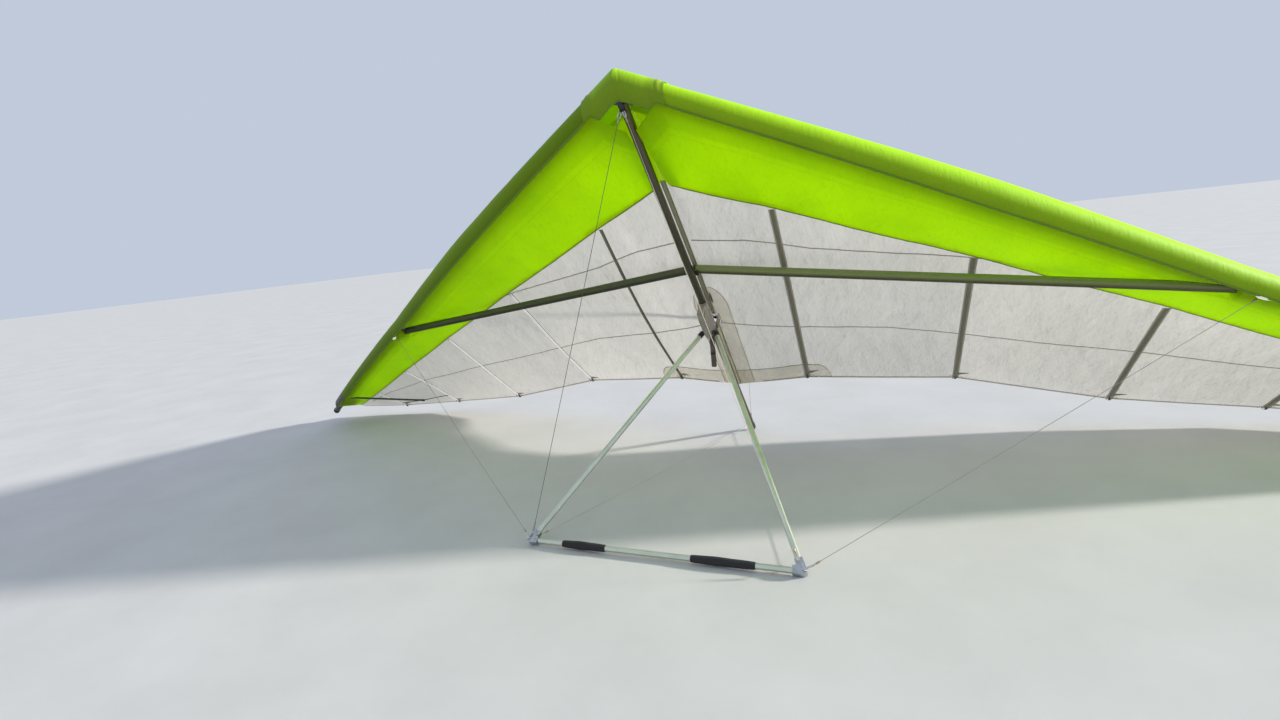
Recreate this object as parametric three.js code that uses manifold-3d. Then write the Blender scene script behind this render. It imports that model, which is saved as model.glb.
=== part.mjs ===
// A hang glider parked nose up on its control frame and its keel's tail: a frame of tubes, the
// wing's cloth as thin shells, the battens that shape it and the main stays, each its own solid.
import * as THREE from 'three';
import { mergeVertices } from 'three/addons/utils/BufferGeometryUtils.js';
import Module from 'manifold-3d';

const wasm = await Module();
wasm.setup();

// Driving dimensions, in millimetres. The glider's own axes are x across the span to the pilot's
// left, s aft along the keel from just ahead of its front end, and n up from the keel.
const gap = 0.5;
const keel = { front: 112, end: 2850, radius: 21, wall: 2 };
const edge = {
  halfNoseAngle: 1.0229, meetS: 37, start: 75, length: 5050, radius: 26, wall: 2,
  rootN: 26, junctionN: 31, tipN: 1, bow: 27, bend: 59, bendFrom: 2913,
};
const sleeve = {
  rootRadius: 49, midX: 1500, midRadius: 78, tipRadius: 60, start: 60, end: 4850, cloth: 3,
  reach: 130, toSail: 2,
};
const crossbar = {
  centreS: 1212, centreN: 57.5, endX: 2571, endS: 1609, endN: 38, radius: 25, wall: 2, start: 20, stop: 2540,
  toEdge: 4,
};
const sail = { cloth: 3, crest: 0.5, greenAtKeel: 633, greenSlope: 0.528, battenDrop: 8 };
const panel = { cloth: 2, cornerX: 160, innerX: 38, innerS: 239, rise: 30, slitX: 2300, slitEnd: 2610 };
const battens = { half: 17, thickness: 6 };
const nosePlate = { thickness: 5, spacerX: 30, spacerS: 90, spacerRadius: 5 };
const apex = { x: 40, s: 1632, n: -68, front: 1426, rear: 1645, pin: 6 };
const uprights = { fitting: 40, fittingRadius: 17, wall: 1.5, lowerEnd: 36 };
const base = { s: 1555.4, n: -1491.7, x: 695, radius: 14.3, foot: 19, wall: 4, cheek: 18.3 };
const grips = [{ side: 'left', x: 337, length: 305 }, { side: 'right', x: -381, length: 243 }];
const kingpost = { s: 1675, bottomN: 88, topN: 1080, radius: 14, cap: 18, footTop: 112 };
// The hole in the sail for the kingpost's foot.
const hole = { front: 1646, rear: 1706, half: 29 };
const tail = { cap: 23.5, lip: 4, cup: 40 };
const strap = { s: 1675, n: -52, pin: 4, width: 25, depth: 28, length: 215, thickness: 5.5 };
const strut = { radius: 9, outer: [3880, 2478, -4], inner: [3350, 2850, 215], room: 15 };
const wireRadius = 1.6;

// The sail over each batten: its trailing edge's s and n, and the height of its camber.
const stations = [
  { x: 0, trailS: 2376, trailN: 66, camber: 59 },
  { x: 460, trailS: 2417, trailN: 148, camber: 69 },
  { x: 1380, trailS: 2665, trailN: 310, camber: 55 },
  { x: 2270, trailS: 2913, trailN: 309, camber: 60 },
  { x: 3060, trailS: 3016, trailN: 317, camber: 36 },
  { x: 3650, trailS: 2957, trailN: 225, camber: 18 },
  { x: 4142, trailS: 2868, trailN: 150, camber: 18 },
];
// Each batten's place across the span, at the lower panel's edge and at the trailing edge.
const battenPlaces = [[494, 460], [1432, 1380], [2318, 2270], [3099, 3060], [3675, 3650]];
const panelPlaces = [230, 690, 920, 1150, 1600, 1820, 2050, 2460, 2660, 2860, 3260, 3460, 3900];

const colours = {
  lime: { color: 0x9fd91c, roughness: 0.6, metalness: 0 },
  white: { color: 0xd8d7d0, roughness: 0.7, metalness: 0 },
  batten: { color: 0x8f8a63, roughness: 0.6, metalness: 0.2 },
  anodised: { color: 0x4a4a36, roughness: 0.4, metalness: 0.8 },
  keelTube: { color: 0x3a3730, roughness: 0.4, metalness: 0.8 },
  bright: { color: 0xc3c8cc, roughness: 0.3, metalness: 0.9 },
  bracket: { color: 0x8b9096, roughness: 0.45, metalness: 0.8 },
  black: { color: 0x16161a, roughness: 0.7, metalness: 0 },
  webbing: { color: 0x3b2a24, roughness: 0.9, metalness: 0 },
  wire: { color: 0xb9b2a4, roughness: 0.4, metalness: 0.7 },
};
const sides = [{ name: 'left', sign: 1 }, { name: 'right', sign: -1 }];
const glider = new THREE.Group();

// Joins vertices that coincide, drops empty triangles and turns the faces outwards.
function tidy(geometry) {
  const plain = geometry.clone();
  plain.deleteAttribute('normal');
  plain.deleteAttribute('uv');
  const merged = mergeVertices(plain, 1e-3);
  const place = merged.getAttribute('position');
  const corners = [0, 1, 2].map(() => new THREE.Vector3());
  const faces = [];
  let volume = 0;
  for (let i = 0; i < merged.index.count; i += 3) {
    const face = [0, 1, 2].map((k) => merged.index.getX(i + k));
    if (new Set(face).size < 3) continue;
    face.forEach((v, k) => corners[k].fromBufferAttribute(place, v));
    volume += corners[0].dot(corners[1].clone().cross(corners[2]));
    faces.push(face);
  }
  merged.setIndex(faces.flatMap(([a, b, c]) => (volume < 0 ? [a, c, b] : [a, b, c])));
  return merged;
}

function toSolid(geometry) {
  const tidied = tidy(geometry);
  return new wasm.Manifold(new wasm.Mesh({
    numProp: 3,
    vertProperties: new Float32Array(tidied.getAttribute('position').array),
    triVerts: new Uint32Array(tidied.index.array),
  }));
}

function fromSolid(solid) {
  const mesh = solid.getMesh();
  const geometry = new THREE.BufferGeometry();
  geometry.setAttribute('position', new THREE.BufferAttribute(mesh.vertProperties, 3));
  geometry.setIndex(new THREE.BufferAttribute(mesh.triVerts, 1));
  return geometry;
}

function cut(geometry, ...cutters) {
  return fromSolid(cutters.reduce((solid, cutter) => solid.subtract(toSolid(cutter)), toSolid(geometry)));
}

function join(geometry, ...others) {
  return fromSolid(others.reduce((solid, other) => solid.add(toSolid(other)), toSolid(geometry)));
}

function addPiece(name, geometry, colour) {
  const mesh = new THREE.Mesh(tidy(geometry), new THREE.MeshStandardMaterial(colours[colour]));
  mesh.name = name;
  glider.add(mesh);
}

const at = (x, s, n) => new THREE.Vector3(x, s, n);
const between = (from, to, distance) => from.clone().add(to.clone().sub(from).setLength(distance));

// A turned solid from its profile of radius and distance along the line between two points.
function turned(from, to, profile, sectors = 24) {
  const geometry = new THREE.LatheGeometry(profile.map(([r, y]) => new THREE.Vector2(r, y)), sectors);
  const aim = to.clone().sub(from).normalize();
  geometry.applyQuaternion(new THREE.Quaternion().setFromUnitVectors(at(0, 1, 0), aim));
  return geometry.translate(from.x, from.y, from.z);
}

function rod(from, to, radius, sectors = 24) {
  const length = from.distanceTo(to);
  return turned(from, to, [[0, 0], [radius, 0], [radius, length], [0, length]], sectors);
}

function pipe(from, to, radius, wall) {
  const length = from.distanceTo(to);
  const inner = radius - wall;
  return turned(from, to, [[inner, 0], [radius, 0], [radius, length], [inner, length], [inner, 0]]);
}

// A cup over the end of a tube: its skirt reaches back over the tube and its lip past the end.
function cup(end, beyond, tubeRadius, capRadius, skirt, lip) {
  const bore = tubeRadius + gap;
  const profile = [[bore, -skirt], [capRadius, -skirt], [capRadius, lip], [0, lip], [0, gap], [bore, gap],
    [bore, -skirt]];
  return turned(end, beyond, profile);
}

// A flat plate from an outline in x and s, or a bar along the keel from an outline in x and n.
function plate(outline, n, thickness) {
  const shape = new THREE.Shape(outline.map(([x, s]) => new THREE.Vector2(x, s)));
  return new THREE.ExtrudeGeometry(shape, { depth: thickness, bevelEnabled: false }).translate(0, 0, n);
}

function alongKeel(shape, from, to) {
  const settings = { depth: to - from, bevelEnabled: false, curveSegments: 10 };
  return new THREE.ExtrudeGeometry(shape, settings).rotateX(Math.PI / 2).translate(0, to, 0);
}

// A closed shell of cloth from rows of points on its middle surface.
function sheet(rows, thickness) {
  const count = rows[0].length;
  const near = (i, top) => [Math.max(i - 1, 0), Math.min(i + 1, top)];
  const layers = [thickness / 2, -thickness / 2].map((offset) => rows.map((row, i) => row.map((point, j) => {
    const [i0, i1] = near(i, rows.length - 1);
    const [j0, j1] = near(j, count - 1);
    const across = rows[i1][j].clone().sub(rows[i0][j]);
    const along = row[j1].clone().sub(row[j0]);
    return point.clone().addScaledVector(across.cross(along).normalize(), offset);
  })));
  const index = [];
  const id = (layer, i, j) => (layer * rows.length + i) * count + j;
  const quad = (a, b, c, d) => index.push(a, b, c, a, c, d);
  for (let i = 0; i < rows.length; i += 1) {
    for (let j = 0; j < count; j += 1) {
      if (i + 1 < rows.length && j + 1 < count) {
        quad(id(0, i, j), id(0, i + 1, j), id(0, i + 1, j + 1), id(0, i, j + 1));
        quad(id(1, i, j), id(1, i, j + 1), id(1, i + 1, j + 1), id(1, i + 1, j));
      }
      const rowFollows = i + 1 < rows.length;
      const pointFollows = j + 1 < count;
      if (rowFollows && j === 0) quad(id(0, i, j), id(1, i, j), id(1, i + 1, j), id(0, i + 1, j));
      if (rowFollows && !pointFollows) quad(id(0, i, j), id(0, i + 1, j), id(1, i + 1, j), id(1, i, j));
      if (pointFollows && i === 0) quad(id(0, i, j), id(0, i, j + 1), id(1, i, j + 1), id(1, i, j));
      if (pointFollows && !rowFollows) quad(id(0, i, j), id(1, i, j), id(1, i, j + 1), id(0, i, j + 1));
    }
  }
  const geometry = new THREE.BufferGeometry();
  const places = layers.flat(2).flatMap((p) => [p.x, p.y, p.z]);
  geometry.setAttribute('position', new THREE.Float32BufferAttribute(places, 3));
  geometry.setIndex(index);
  return geometry;
}

// The leading edge's tube: bowed forwards up to the crossbar, then bent aft towards the tip.
function edgePoint(along) {
  const outer = Math.max(0, (along - edge.bendFrom) / (edge.length - edge.bendFrom));
  const inner = Math.min(along / edge.bendFrom, 1);
  const slope = (edge.junctionN - edge.rootN) / edge.bendFrom;
  const straightN = (distance) => edge.rootN + slope * distance;
  const aft = edge.bend * outer ** 2 - edge.bow * Math.sin(Math.PI * inner);
  return at(
    along * Math.sin(edge.halfNoseAngle),
    edge.meetS + along * Math.cos(edge.halfNoseAngle) + aft,
    straightN(along) + (edge.tipN - straightN(edge.length)) * outer ** 2,
  );
}
const edgeAt = (x) => edgePoint(x / Math.sin(edge.halfNoseAngle));
const tipX = edgePoint(sleeve.end).x;

function sleeveRadius(x) {
  const { mapLinear } = THREE.MathUtils;
  if (x < sleeve.midX) return mapLinear(x, 0, sleeve.midX, sleeve.rootRadius, sleeve.midRadius);
  return mapLinear(x, sleeve.midX, tipX, sleeve.midRadius, sleeve.tipRadius);
}

// The upper surface between two battens is straight across the span.
function stationAt(place) {
  const x = Math.min(place, stations.at(-1).x);
  const right = Math.max(1, stations.findIndex((station) => station.x >= x));
  const [a, b] = [stations[right - 1], stations[right]];
  const mix = (key) => THREE.MathUtils.mapLinear(x, a.x, b.x, a[key], b[key]);
  return { trailS: mix('trailS'), trailN: mix('trailN'), camber: mix('camber') };
}

function sailHeight(x, s) {
  const front = edgeAt(x);
  const { trailS, trailN, camber } = stationAt(x);
  const share = THREE.MathUtils.clamp((s - front.y) / (trailS - front.y), 0, 1);
  return THREE.MathUtils.lerp(front.z, trailN, share) + camber * Math.sin(Math.PI * share ** sail.crest);
}
const sailPoint = (x, s, drop = 0) => at(x, s, sailHeight(x, s) - drop);
const greenEdge = (x) => Math.min(sail.greenAtKeel + sail.greenSlope * x, stationAt(x).trailS - 18);

const mirrored = (rows, sign) => rows.map((row) => row.map((p) => at(p.x * sign, p.y, p.z)));
const steps = (count) => Array.from({ length: count + 1 }, (_, i) => i / count);

// The cloth round the leading edge, from its seam below to where the upper sail begins.
const sleeveAngles = [-82, -60, -38, -16, 6, 28, 50, 72].map(THREE.MathUtils.degToRad);
const sweepStretch = 1 / Math.sin(edge.halfNoseAngle);
function sleeveProfile(x, grow = 0, reach = sleeve.reach) {
  const front = edgeAt(x);
  const radius = sleeveRadius(x) + grow;
  const arc = sleeveAngles.map((angle) => at(
    x,
    front.y - radius * sweepStretch * Math.cos(angle),
    front.z + radius * Math.sin(angle),
  ));
  return [...arc, sailPoint(x, front.y + reach, -grow)];
}

const crossbarPoint = (x) => at(
  x,
  THREE.MathUtils.mapLinear(x, 0, crossbar.endX, crossbar.centreS, crossbar.endS),
  THREE.MathUtils.mapLinear(x, 0, crossbar.endX, crossbar.centreN, crossbar.endN),
);

const strutEnds = (sign) => [strut.outer, strut.inner].map(([x, s, n]) => at(sign * x, s, n));

const spanPlaces = [...battenPlaces.map(([, rear]) => rear), ...panelPlaces].sort((a, b) => a - b);

function buildWing({ name, sign }) {
  const sleeveRows = [sleeve.start, ...spanPlaces, tipX].map((x) => sleeveProfile(x));
  addPiece(`leading_edge_sleeve_${name}`, sheet(mirrored(sleeveRows, sign), sleeve.cloth), 'lime');

  const sailRows = [gap, ...spanPlaces, tipX].map((x) => {
    const start = edgeAt(x).y + sleeve.reach + sleeve.toSail;
    const end = stationAt(x).trailS;
    return steps(12).map((share) => sailPoint(x, THREE.MathUtils.lerp(start, end, share)));
  });
  const holeRoom = new THREE.BoxGeometry(2 * hole.half, hole.rear - hole.front, 400)
    .translate(0, (hole.rear + hole.front) / 2, 0);
  addPiece(`sail_${name}`, cut(sheet(mirrored(sailRows, sign), sail.cloth), holeRoom), 'white');
  addPiece(`undersurface_${name}`, buildPanel(sign), 'lime');

  battenPlaces.forEach(([front, rear], number) => {
    const start = greenEdge(front + battens.half) + 8;
    const end = stationAt(rear).trailS - 4;
    const rows = [-battens.half, battens.half].map((aside) => steps(14).map((share) => sailPoint(
      THREE.MathUtils.lerp(front, rear, share) + aside,
      THREE.MathUtils.lerp(start, end, share),
      sail.battenDrop,
    )));
    addPiece(`batten_${name}_${number + 1}`, sheet(mirrored(rows, sign), battens.thickness), 'batten');
  });
  addPiece(`washout_strut_${name}`, rod(...strutEnds(sign), strut.radius, 12), 'anodised');
}

// The lower panel: from the sleeve's seam up to the sail, over the crossbar, with a slit for its end.
function buildPanel(sign) {
  const lastX = tipX - 40;
  const nearBar = [1700, 1940, 2150, 2220, panel.slitX, 2390, panel.slitEnd];
  const places = [panel.innerX, 100, panel.cornerX, ...spanPlaces, ...nearBar, lastX].sort((a, b) => a - b);
  const rows = places.map((x) => {
    const lip = sleeveProfile(Math.max(x, panel.cornerX))[0];
    const inset = Math.max(0, panel.cornerX - x) / (panel.cornerX - panel.innerX);
    const start = at(x, THREE.MathUtils.lerp(lip.y, panel.innerS, inset) + 4, lip.z);
    const end = sailPoint(x, greenEdge(x), sail.cloth + gap);
    const bar = crossbarPoint(x);
    const straight = steps(8).map((share) => start.clone().lerp(end, share));
    if (x > panel.slitX || bar.y + 60 > end.y) return straight;
    const stops = [-75, -50, -25, 0, 25, 50, 75].map((aside) => bar.y + aside);
    return [start.y, ...stops, end.y].map((s) => {
      const n = THREE.MathUtils.mapLinear(s, start.y, end.y, start.z, end.z);
      const over = Math.abs(s - bar.y) > 60 ? n : bar.z + panel.rise;
      return at(x, s, Math.max(n, over));
    });
  });
  const slit = [
    [panel.slitX, crossbarPoint(panel.slitX).y - 36], [panel.slitX + 100, edgeAt(panel.slitX + 100).y - 60],
    [panel.slitEnd, edgeAt(panel.slitEnd).y - 60], [panel.slitEnd, crossbarPoint(panel.slitEnd).y + 28],
    [panel.slitX, crossbarPoint(panel.slitX).y + 34],
  ].map(([x, s]) => [x * sign, s]);
  const [outer, inner] = strutEnds(sign);
  const strutRoom = rod(between(outer, inner, -30), between(outer, inner, 130), strut.room, 12);
  return cut(sheet(mirrored(rows, sign), panel.cloth), plate(slit, -100, 300), strutRoom);
}

function buildEdgeFrame({ name, sign }) {
  const flip = (p) => at(p.x * sign, p.y, p.z);
  const stretch = [edge.start, 750, 1500, 2200, edge.bendFrom, 3450, 4000, 4550, edge.length];
  const path = new THREE.CatmullRomCurve3(stretch.map((along) => flip(edgePoint(along))));
  const ring = new THREE.Shape().absarc(0, 0, edge.radius, 0, 2 * Math.PI);
  ring.holes.push(new THREE.Path().absarc(0, 0, edge.radius - edge.wall, 0, 2 * Math.PI, true));
  const settings = { extrudePath: path, steps: 14, curveSegments: 10 };
  addPiece(`leading_edge_${name}`, new THREE.ExtrudeGeometry(ring, settings), 'anodised');
  const end = flip(edgePoint(edge.length));
  const beyond = end.clone().add(end.clone().sub(flip(edgePoint(edge.length - 200))));
  addPiece(`tip_cap_${name}`, cup(end, beyond, edge.radius, edge.radius + 3, 30, 4), 'black');

  const inner = flip(crossbarPoint(crossbar.start));
  const outer = flip(crossbarPoint(crossbar.stop));
  const edgeRoom = rod(flip(edgeAt(2300)), flip(edgeAt(2700)), edge.radius + crossbar.toEdge);
  const bar = cut(pipe(inner, outer, crossbar.radius, crossbar.wall), edgeRoom);
  addPiece(`crossbar_${name}`, bar, 'anodised');
  addPiece(`crossbar_end_bracket_${name}`, buildEndBracket(sign), 'bracket');
}

// The crossbar's end fitting: a plate over both tubes, with a saddle down to the leading edge's tube.
function buildEndBracket(sign) {
  const outline = [[2420, 1572], [2520, 1560], [2590, 1602], [2590, 1636], [2420, 1612]]
    .map(([x, s]) => [x * sign, s]);
  const edgeTop = edge.junctionN + edge.radius;
  const crossbarTop = crossbar.endN + crossbar.radius;
  const saddle = new THREE.BoxGeometry(36, 18, 8).translate(sign * 2566, 1604, edgeTop + 5.5);
  return join(plate(outline, crossbarTop + 2.5, 5), saddle);
}

function buildKeel() {
  addPiece('keel', pipe(at(0, keel.front, 0), at(0, keel.end, 0), keel.radius, keel.wall), 'keelTube');
  const tailCap = cup(at(0, keel.end, 0), at(0, keel.end + 1, 0), keel.radius, tail.cap, tail.cup, tail.lip);
  addPiece('keel_tail_cap', tailCap, 'black');
  const saddle = [[-30, 1196], [30, 1196], [34, 1212], [30, 1230], [-30, 1230], [-34, 1212]];
  addPiece('crossbar_centre', plate(saddle, keel.radius + 1, 9.5), 'bracket');
  buildNose();
  buildCentreStrip('centre_batten_front', 650, hole.front - 15);
  buildCentreStrip('centre_batten_rear', hole.rear + 15, 2368);
}

// The nose: a plate over the leading edges' tubes, one under the keel's end, and the cloth cone.
function buildNose() {
  const upper = [
    [-25, 24], [25, 24], [118, 82], [118, 108], [38, 165], [-38, 165], [-118, 108], [-118, 82],
  ];
  const upperN = edge.rootN + edge.radius + 1.5;
  addPiece('nose_plate_upper', plate(upper, upperN, nosePlate.thickness), 'bracket');
  const lower = [[-40, 60], [40, 60], [40, 100], [14, 104], [14, 150], [-14, 150], [-14, 104], [-40, 100]];
  const lowerTop = -keel.radius - 1;
  const spacers = [-1, 1].map((side) => rod(
    at(side * nosePlate.spacerX, nosePlate.spacerS, lowerTop - 1),
    at(side * nosePlate.spacerX, nosePlate.spacerS, upperN - gap),
    nosePlate.spacerRadius,
    16,
  ));
  const lowerPlate = plate(lower, lowerTop - nosePlate.thickness, nosePlate.thickness);
  addPiece('nose_plate_lower', join(lowerPlate, ...spacers), 'bracket');

  const flapEdge = [[0, 86], [45, 104], [120, 155], [166, 127], [200, 150]];
  const coneRows = [-200, -166, -120, -80, -45, 0, 45, 80, 120, 166, 200].map((x) => {
    const place = Math.abs(x);
    const profile = sleeveProfile(place, 6, 160);
    const right = flapEdge.findIndex(([edgeX]) => edgeX >= place);
    const [a, b] = [flapEdge[Math.max(0, right - 1)], flapEdge[right]];
    const flapS = a === b ? a[1] : THREE.MathUtils.mapLinear(place, a[0], b[0], a[1], b[1]);
    const reach = Math.max(flapS, profile[0].y + 2);
    return [at(x, reach, profile[0].z - 0.5), ...profile.map((p) => at(x, p.y, p.z))];
  });
  addPiece('nose_cone', sheet(coneRows, 2), 'lime');
}

function buildCentreStrip(name, from, to) {
  const half = 15;
  const rows = [-half, half].map((x) => steps(8).map((share) => {
    const point = sailPoint(Math.abs(x), THREE.MathUtils.lerp(from, to, share), sail.battenDrop + 3);
    return at(x, point.y, point.z);
  }));
  addPiece(name, sheet(rows, 6), 'batten');
}

function buildApex() {
  const bracket = new THREE.Shape();
  const bore = keel.radius + gap;
  const half = [[11, -108], [17, -100], [17, -46], [27, -28], [27, 5], [bore, 5]];
  const otherHalf = half.map(([x, n]) => [-x, n]).reverse();
  [...otherHalf, ...half].forEach(([x, n], i) => (i ? bracket.lineTo(x, n) : bracket.moveTo(x, n)));
  bracket.lineTo(bore, 0);
  bracket.absarc(0, 0, bore, 0, Math.PI, true);
  const pinEnd = apex.x - uprights.fittingRadius;
  const pin = rod(at(-pinEnd, apex.s, apex.n), at(pinEnd, apex.s, apex.n), apex.pin, 16);
  addPiece('apex_bracket', join(alongKeel(bracket, apex.front, apex.rear), pin), 'bracket');

  const foot = new THREE.Shape();
  [
    [-26, 22], [26, 22], [26, kingpost.footTop], [20.5, kingpost.footTop], [20.5, 27], [-20.5, 27],
    [-20.5, kingpost.footTop], [-26, kingpost.footTop],
  ].forEach(([x, n], i) => (i ? foot.lineTo(x, n) : foot.moveTo(x, n)));
  addPiece('kingpost_foot', alongKeel(foot, kingpost.s - 25, kingpost.s + 25), 'bracket');
  const bottom = at(0, kingpost.s, kingpost.bottomN);
  const top = at(0, kingpost.s, kingpost.topN);
  addPiece('kingpost', pipe(bottom, top, kingpost.radius, 1.5), 'bright');
  const above = at(0, kingpost.s, kingpost.topN + 1);
  addPiece('kingpost_cap', cup(top, above, kingpost.radius, kingpost.cap, 34, 10), 'black');
}

function buildControlFrame() {
  const bar = [at(-base.x + 6, base.s, base.n), at(base.x - 6, base.s, base.n)];
  addPiece('base_bar', pipe(...bar, base.radius, uprights.wall), 'bright');
  grips.forEach(({ side, x, length }) => {
    const bore = base.radius + gap;
    const profile = [
      [bore, 0], [bore + 2, 0], [20, 14], [20.5, length / 2], [20, length - 14], [bore + 2, length],
      [bore, length], [bore, 0],
    ];
    const start = at(x - length / 2, base.s, base.n);
    addPiece(`base_bar_grip_${side}`, turned(start, at(x, base.s, base.n), profile), 'black');
  });
  sides.forEach(({ name, sign }) => {
    const top = at(sign * apex.x, apex.s, apex.n);
    const corner = at(sign * base.x, base.s, base.n);
    const tubeEnds = [between(top, corner, uprights.fitting + gap), between(corner, top, uprights.lowerEnd)];
    const fitting = rod(top, between(top, corner, uprights.fitting), uprights.fittingRadius);
    addPiece(`downtube_top_${name}`, fitting, 'black');
    addPiece(`downtube_${name}`, pipe(...tubeEnds, base.radius, uprights.wall), 'bright');
    buildCorner(name, sign);
  });
}

// The corner bracket: two cheeks on the control frame's plane, joined round the outside.
function buildCorner(name, sign) {
  const rise = new THREE.Vector2(apex.x - base.x, Math.hypot(apex.s - base.s, apex.n - base.n)).normalize();
  const outwards = new THREE.Vector2(rise.y, -rise.x);
  const lean = Math.atan2(outwards.y, outwards.x);
  const along = (distance, aside) => rise.clone().multiplyScalar(distance).addScaledVector(outwards, aside);
  const outline = (radius, inboard, upper, ends) => {
    const shape = new THREE.Shape();
    shape.moveTo(-inboard, -radius);
    shape.lineTo(0, -radius);
    shape.absarc(0, 0, radius, -Math.PI / 2, lean, false);
    [along(upper, radius), ...ends].forEach((p) => shape.lineTo(p.x, p.y));
    shape.closePath();
    return shape;
  };
  const slab = (shape, width) => {
    const settings = { depth: width, bevelEnabled: false, curveSegments: 24 };
    return new THREE.ExtrudeGeometry(shape, settings).translate(0, 0, -width / 2);
  };
  const [inboard, upper] = [44, 58];
  const inner = [along(upper, -18), new THREE.Vector2(-29, 20), new THREE.Vector2(-inboard, 18)];
  const body = outline(base.foot, inboard, upper, inner);
  const room = outline(base.foot - base.wall, 120, 130, [along(130, -80), new THREE.Vector2(-120, 80)]);
  const bracket = cut(slab(body, 2 * base.cheek), slab(room, 2 * (base.radius + gap)));
  const frame = new THREE.Matrix4().makeBasis(at(1, 0, 0), frameRise, frameFront);
  bracket.applyMatrix4(frame).translate(base.x, base.s, base.n);
  if (sign < 0) bracket.scale(-1, 1, 1);
  addPiece(`corner_bracket_${name}`, bracket, 'bracket');
}

// The pitch at which the rear edges of both corner brackets and the tail's rim touch a level floor.
const frameRise = at(0, apex.s - base.s, apex.n - base.n).normalize();
const frameFront = at(1, 0, 0).cross(frameRise);
const footEdge = at(0, base.s, base.n)
  .addScaledVector(frameRise, -base.foot)
  .addScaledVector(frameFront, -base.cheek);
const rim = at(0, keel.end + tail.lip, -tail.cap);
const pitch = Math.atan2(rim.z - footEdge.z, rim.y - footEdge.y);

// The strap is a loop of webbing on a pin below the keel, and hangs straight down.
function buildHangStrap() {
  const cheeks = new THREE.Shape();
  [[-22, -22], [22, -22], [22, -64], [17.5, -64], [17.5, -27], [-17.5, -27], [-17.5, -64], [-22, -64]]
    .forEach(([x, n], i) => (i ? cheeks.lineTo(x, n) : cheeks.moveTo(x, n)));
  const hanger = alongKeel(cheeks, strap.s - 13, strap.s + 13);
  const pin = rod(at(-21, strap.s, strap.n), at(21, strap.s, strap.n), strap.pin, 16);
  addPiece('hang_strap_hanger', join(hanger, pin), 'bracket');

  const half = strap.depth / 2;
  const inner = half - strap.thickness;
  const loop = new THREE.Shape();
  loop.absarc(0, 0, half, 0, Math.PI, false);
  loop.absarc(0, -strap.length + strap.depth, half, Math.PI, 2 * Math.PI, false);
  const hole = new THREE.Path();
  hole.absarc(0, 0, inner, 0, Math.PI, false);
  hole.absarc(0, -strap.length + strap.depth, inner, Math.PI, 2 * Math.PI, false);
  loop.holes.push(hole);
  const slack = inner - strap.pin - gap;
  const settings = { depth: strap.width, bevelEnabled: false, curveSegments: 10 };
  const webbing = new THREE.ExtrudeGeometry(loop, settings)
    .translate(0, -slack, -strap.width / 2)
    .rotateY(Math.PI / 2)
    .rotateX(Math.PI / 2 + pitch)
    .translate(0, strap.s, strap.n);
  addPiece('hang_strap', webbing, 'webbing');
}

// The main stays, each from one anchor to another with a length left free at both ends.
function buildWires() {
  const mast = (x, s) => at(x, kingpost.s + s, kingpost.topN - 12);
  const fromMast = kingpost.cap + 10;
  const nose = at(0, 190, sailHeight(0, 190) + 14);
  const stern = at(0, 2790, keel.radius + 3);
  addPiece('top_wire_front', rod(between(mast(0, 0), nose, fromMast), nose, wireRadius, 8), 'wire');
  addPiece('top_wire_rear', rod(between(mast(0, 0), stern, fromMast), stern, wireRadius, 8), 'wire');
  const topEnd = at(2540, edgeAt(2540).y, edgeAt(2540).z + sleeveRadius(2540) + 8);
  const frontEnd = at(8, 132, -38);
  const rearEnd = at(12, 2790, -26);
  const sideEnd = at(2565, 1612, -5);
  sides.forEach(({ name, sign }) => {
    const flip = (p) => at(p.x * sign, p.y, p.z);
    const corner = at(sign * base.x, base.s, base.n);
    const stays = [
      ['top_wire_side', mast(0, 0), topEnd, fromMast],
      ['front_wire', corner, frontEnd, 50],
      ['rear_wire', corner, rearEnd, 60],
      ['side_wire', corner, sideEnd, 34],
    ];
    stays.forEach(([stay, from, end, free]) => {
      addPiece(`${stay}_${name}`, rod(between(from, flip(end), free), flip(end), wireRadius, 8), 'wire');
    });
  });
}

buildKeel();
sides.forEach(buildEdgeFrame);
sides.forEach(buildWing);
buildApex();
buildControlFrame();
buildHangStrap();
buildWires();

glider.rotation.x = -pitch;
const part = new THREE.Group();
part.add(glider);
part.updateMatrixWorld(true);
const bounds = new THREE.Box3().setFromObject(part, true);
part.position.set(0, -(bounds.min.y + bounds.max.y) / 2, -bounds.min.z);

export default part;
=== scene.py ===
"""Dresses the parked hang glider: cloth, tubes, fittings and rigging, a pale floor and soft light."""
import itertools
import math

import bmesh
import bpy
import numpy as np
from mathutils import Matrix, Vector


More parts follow.
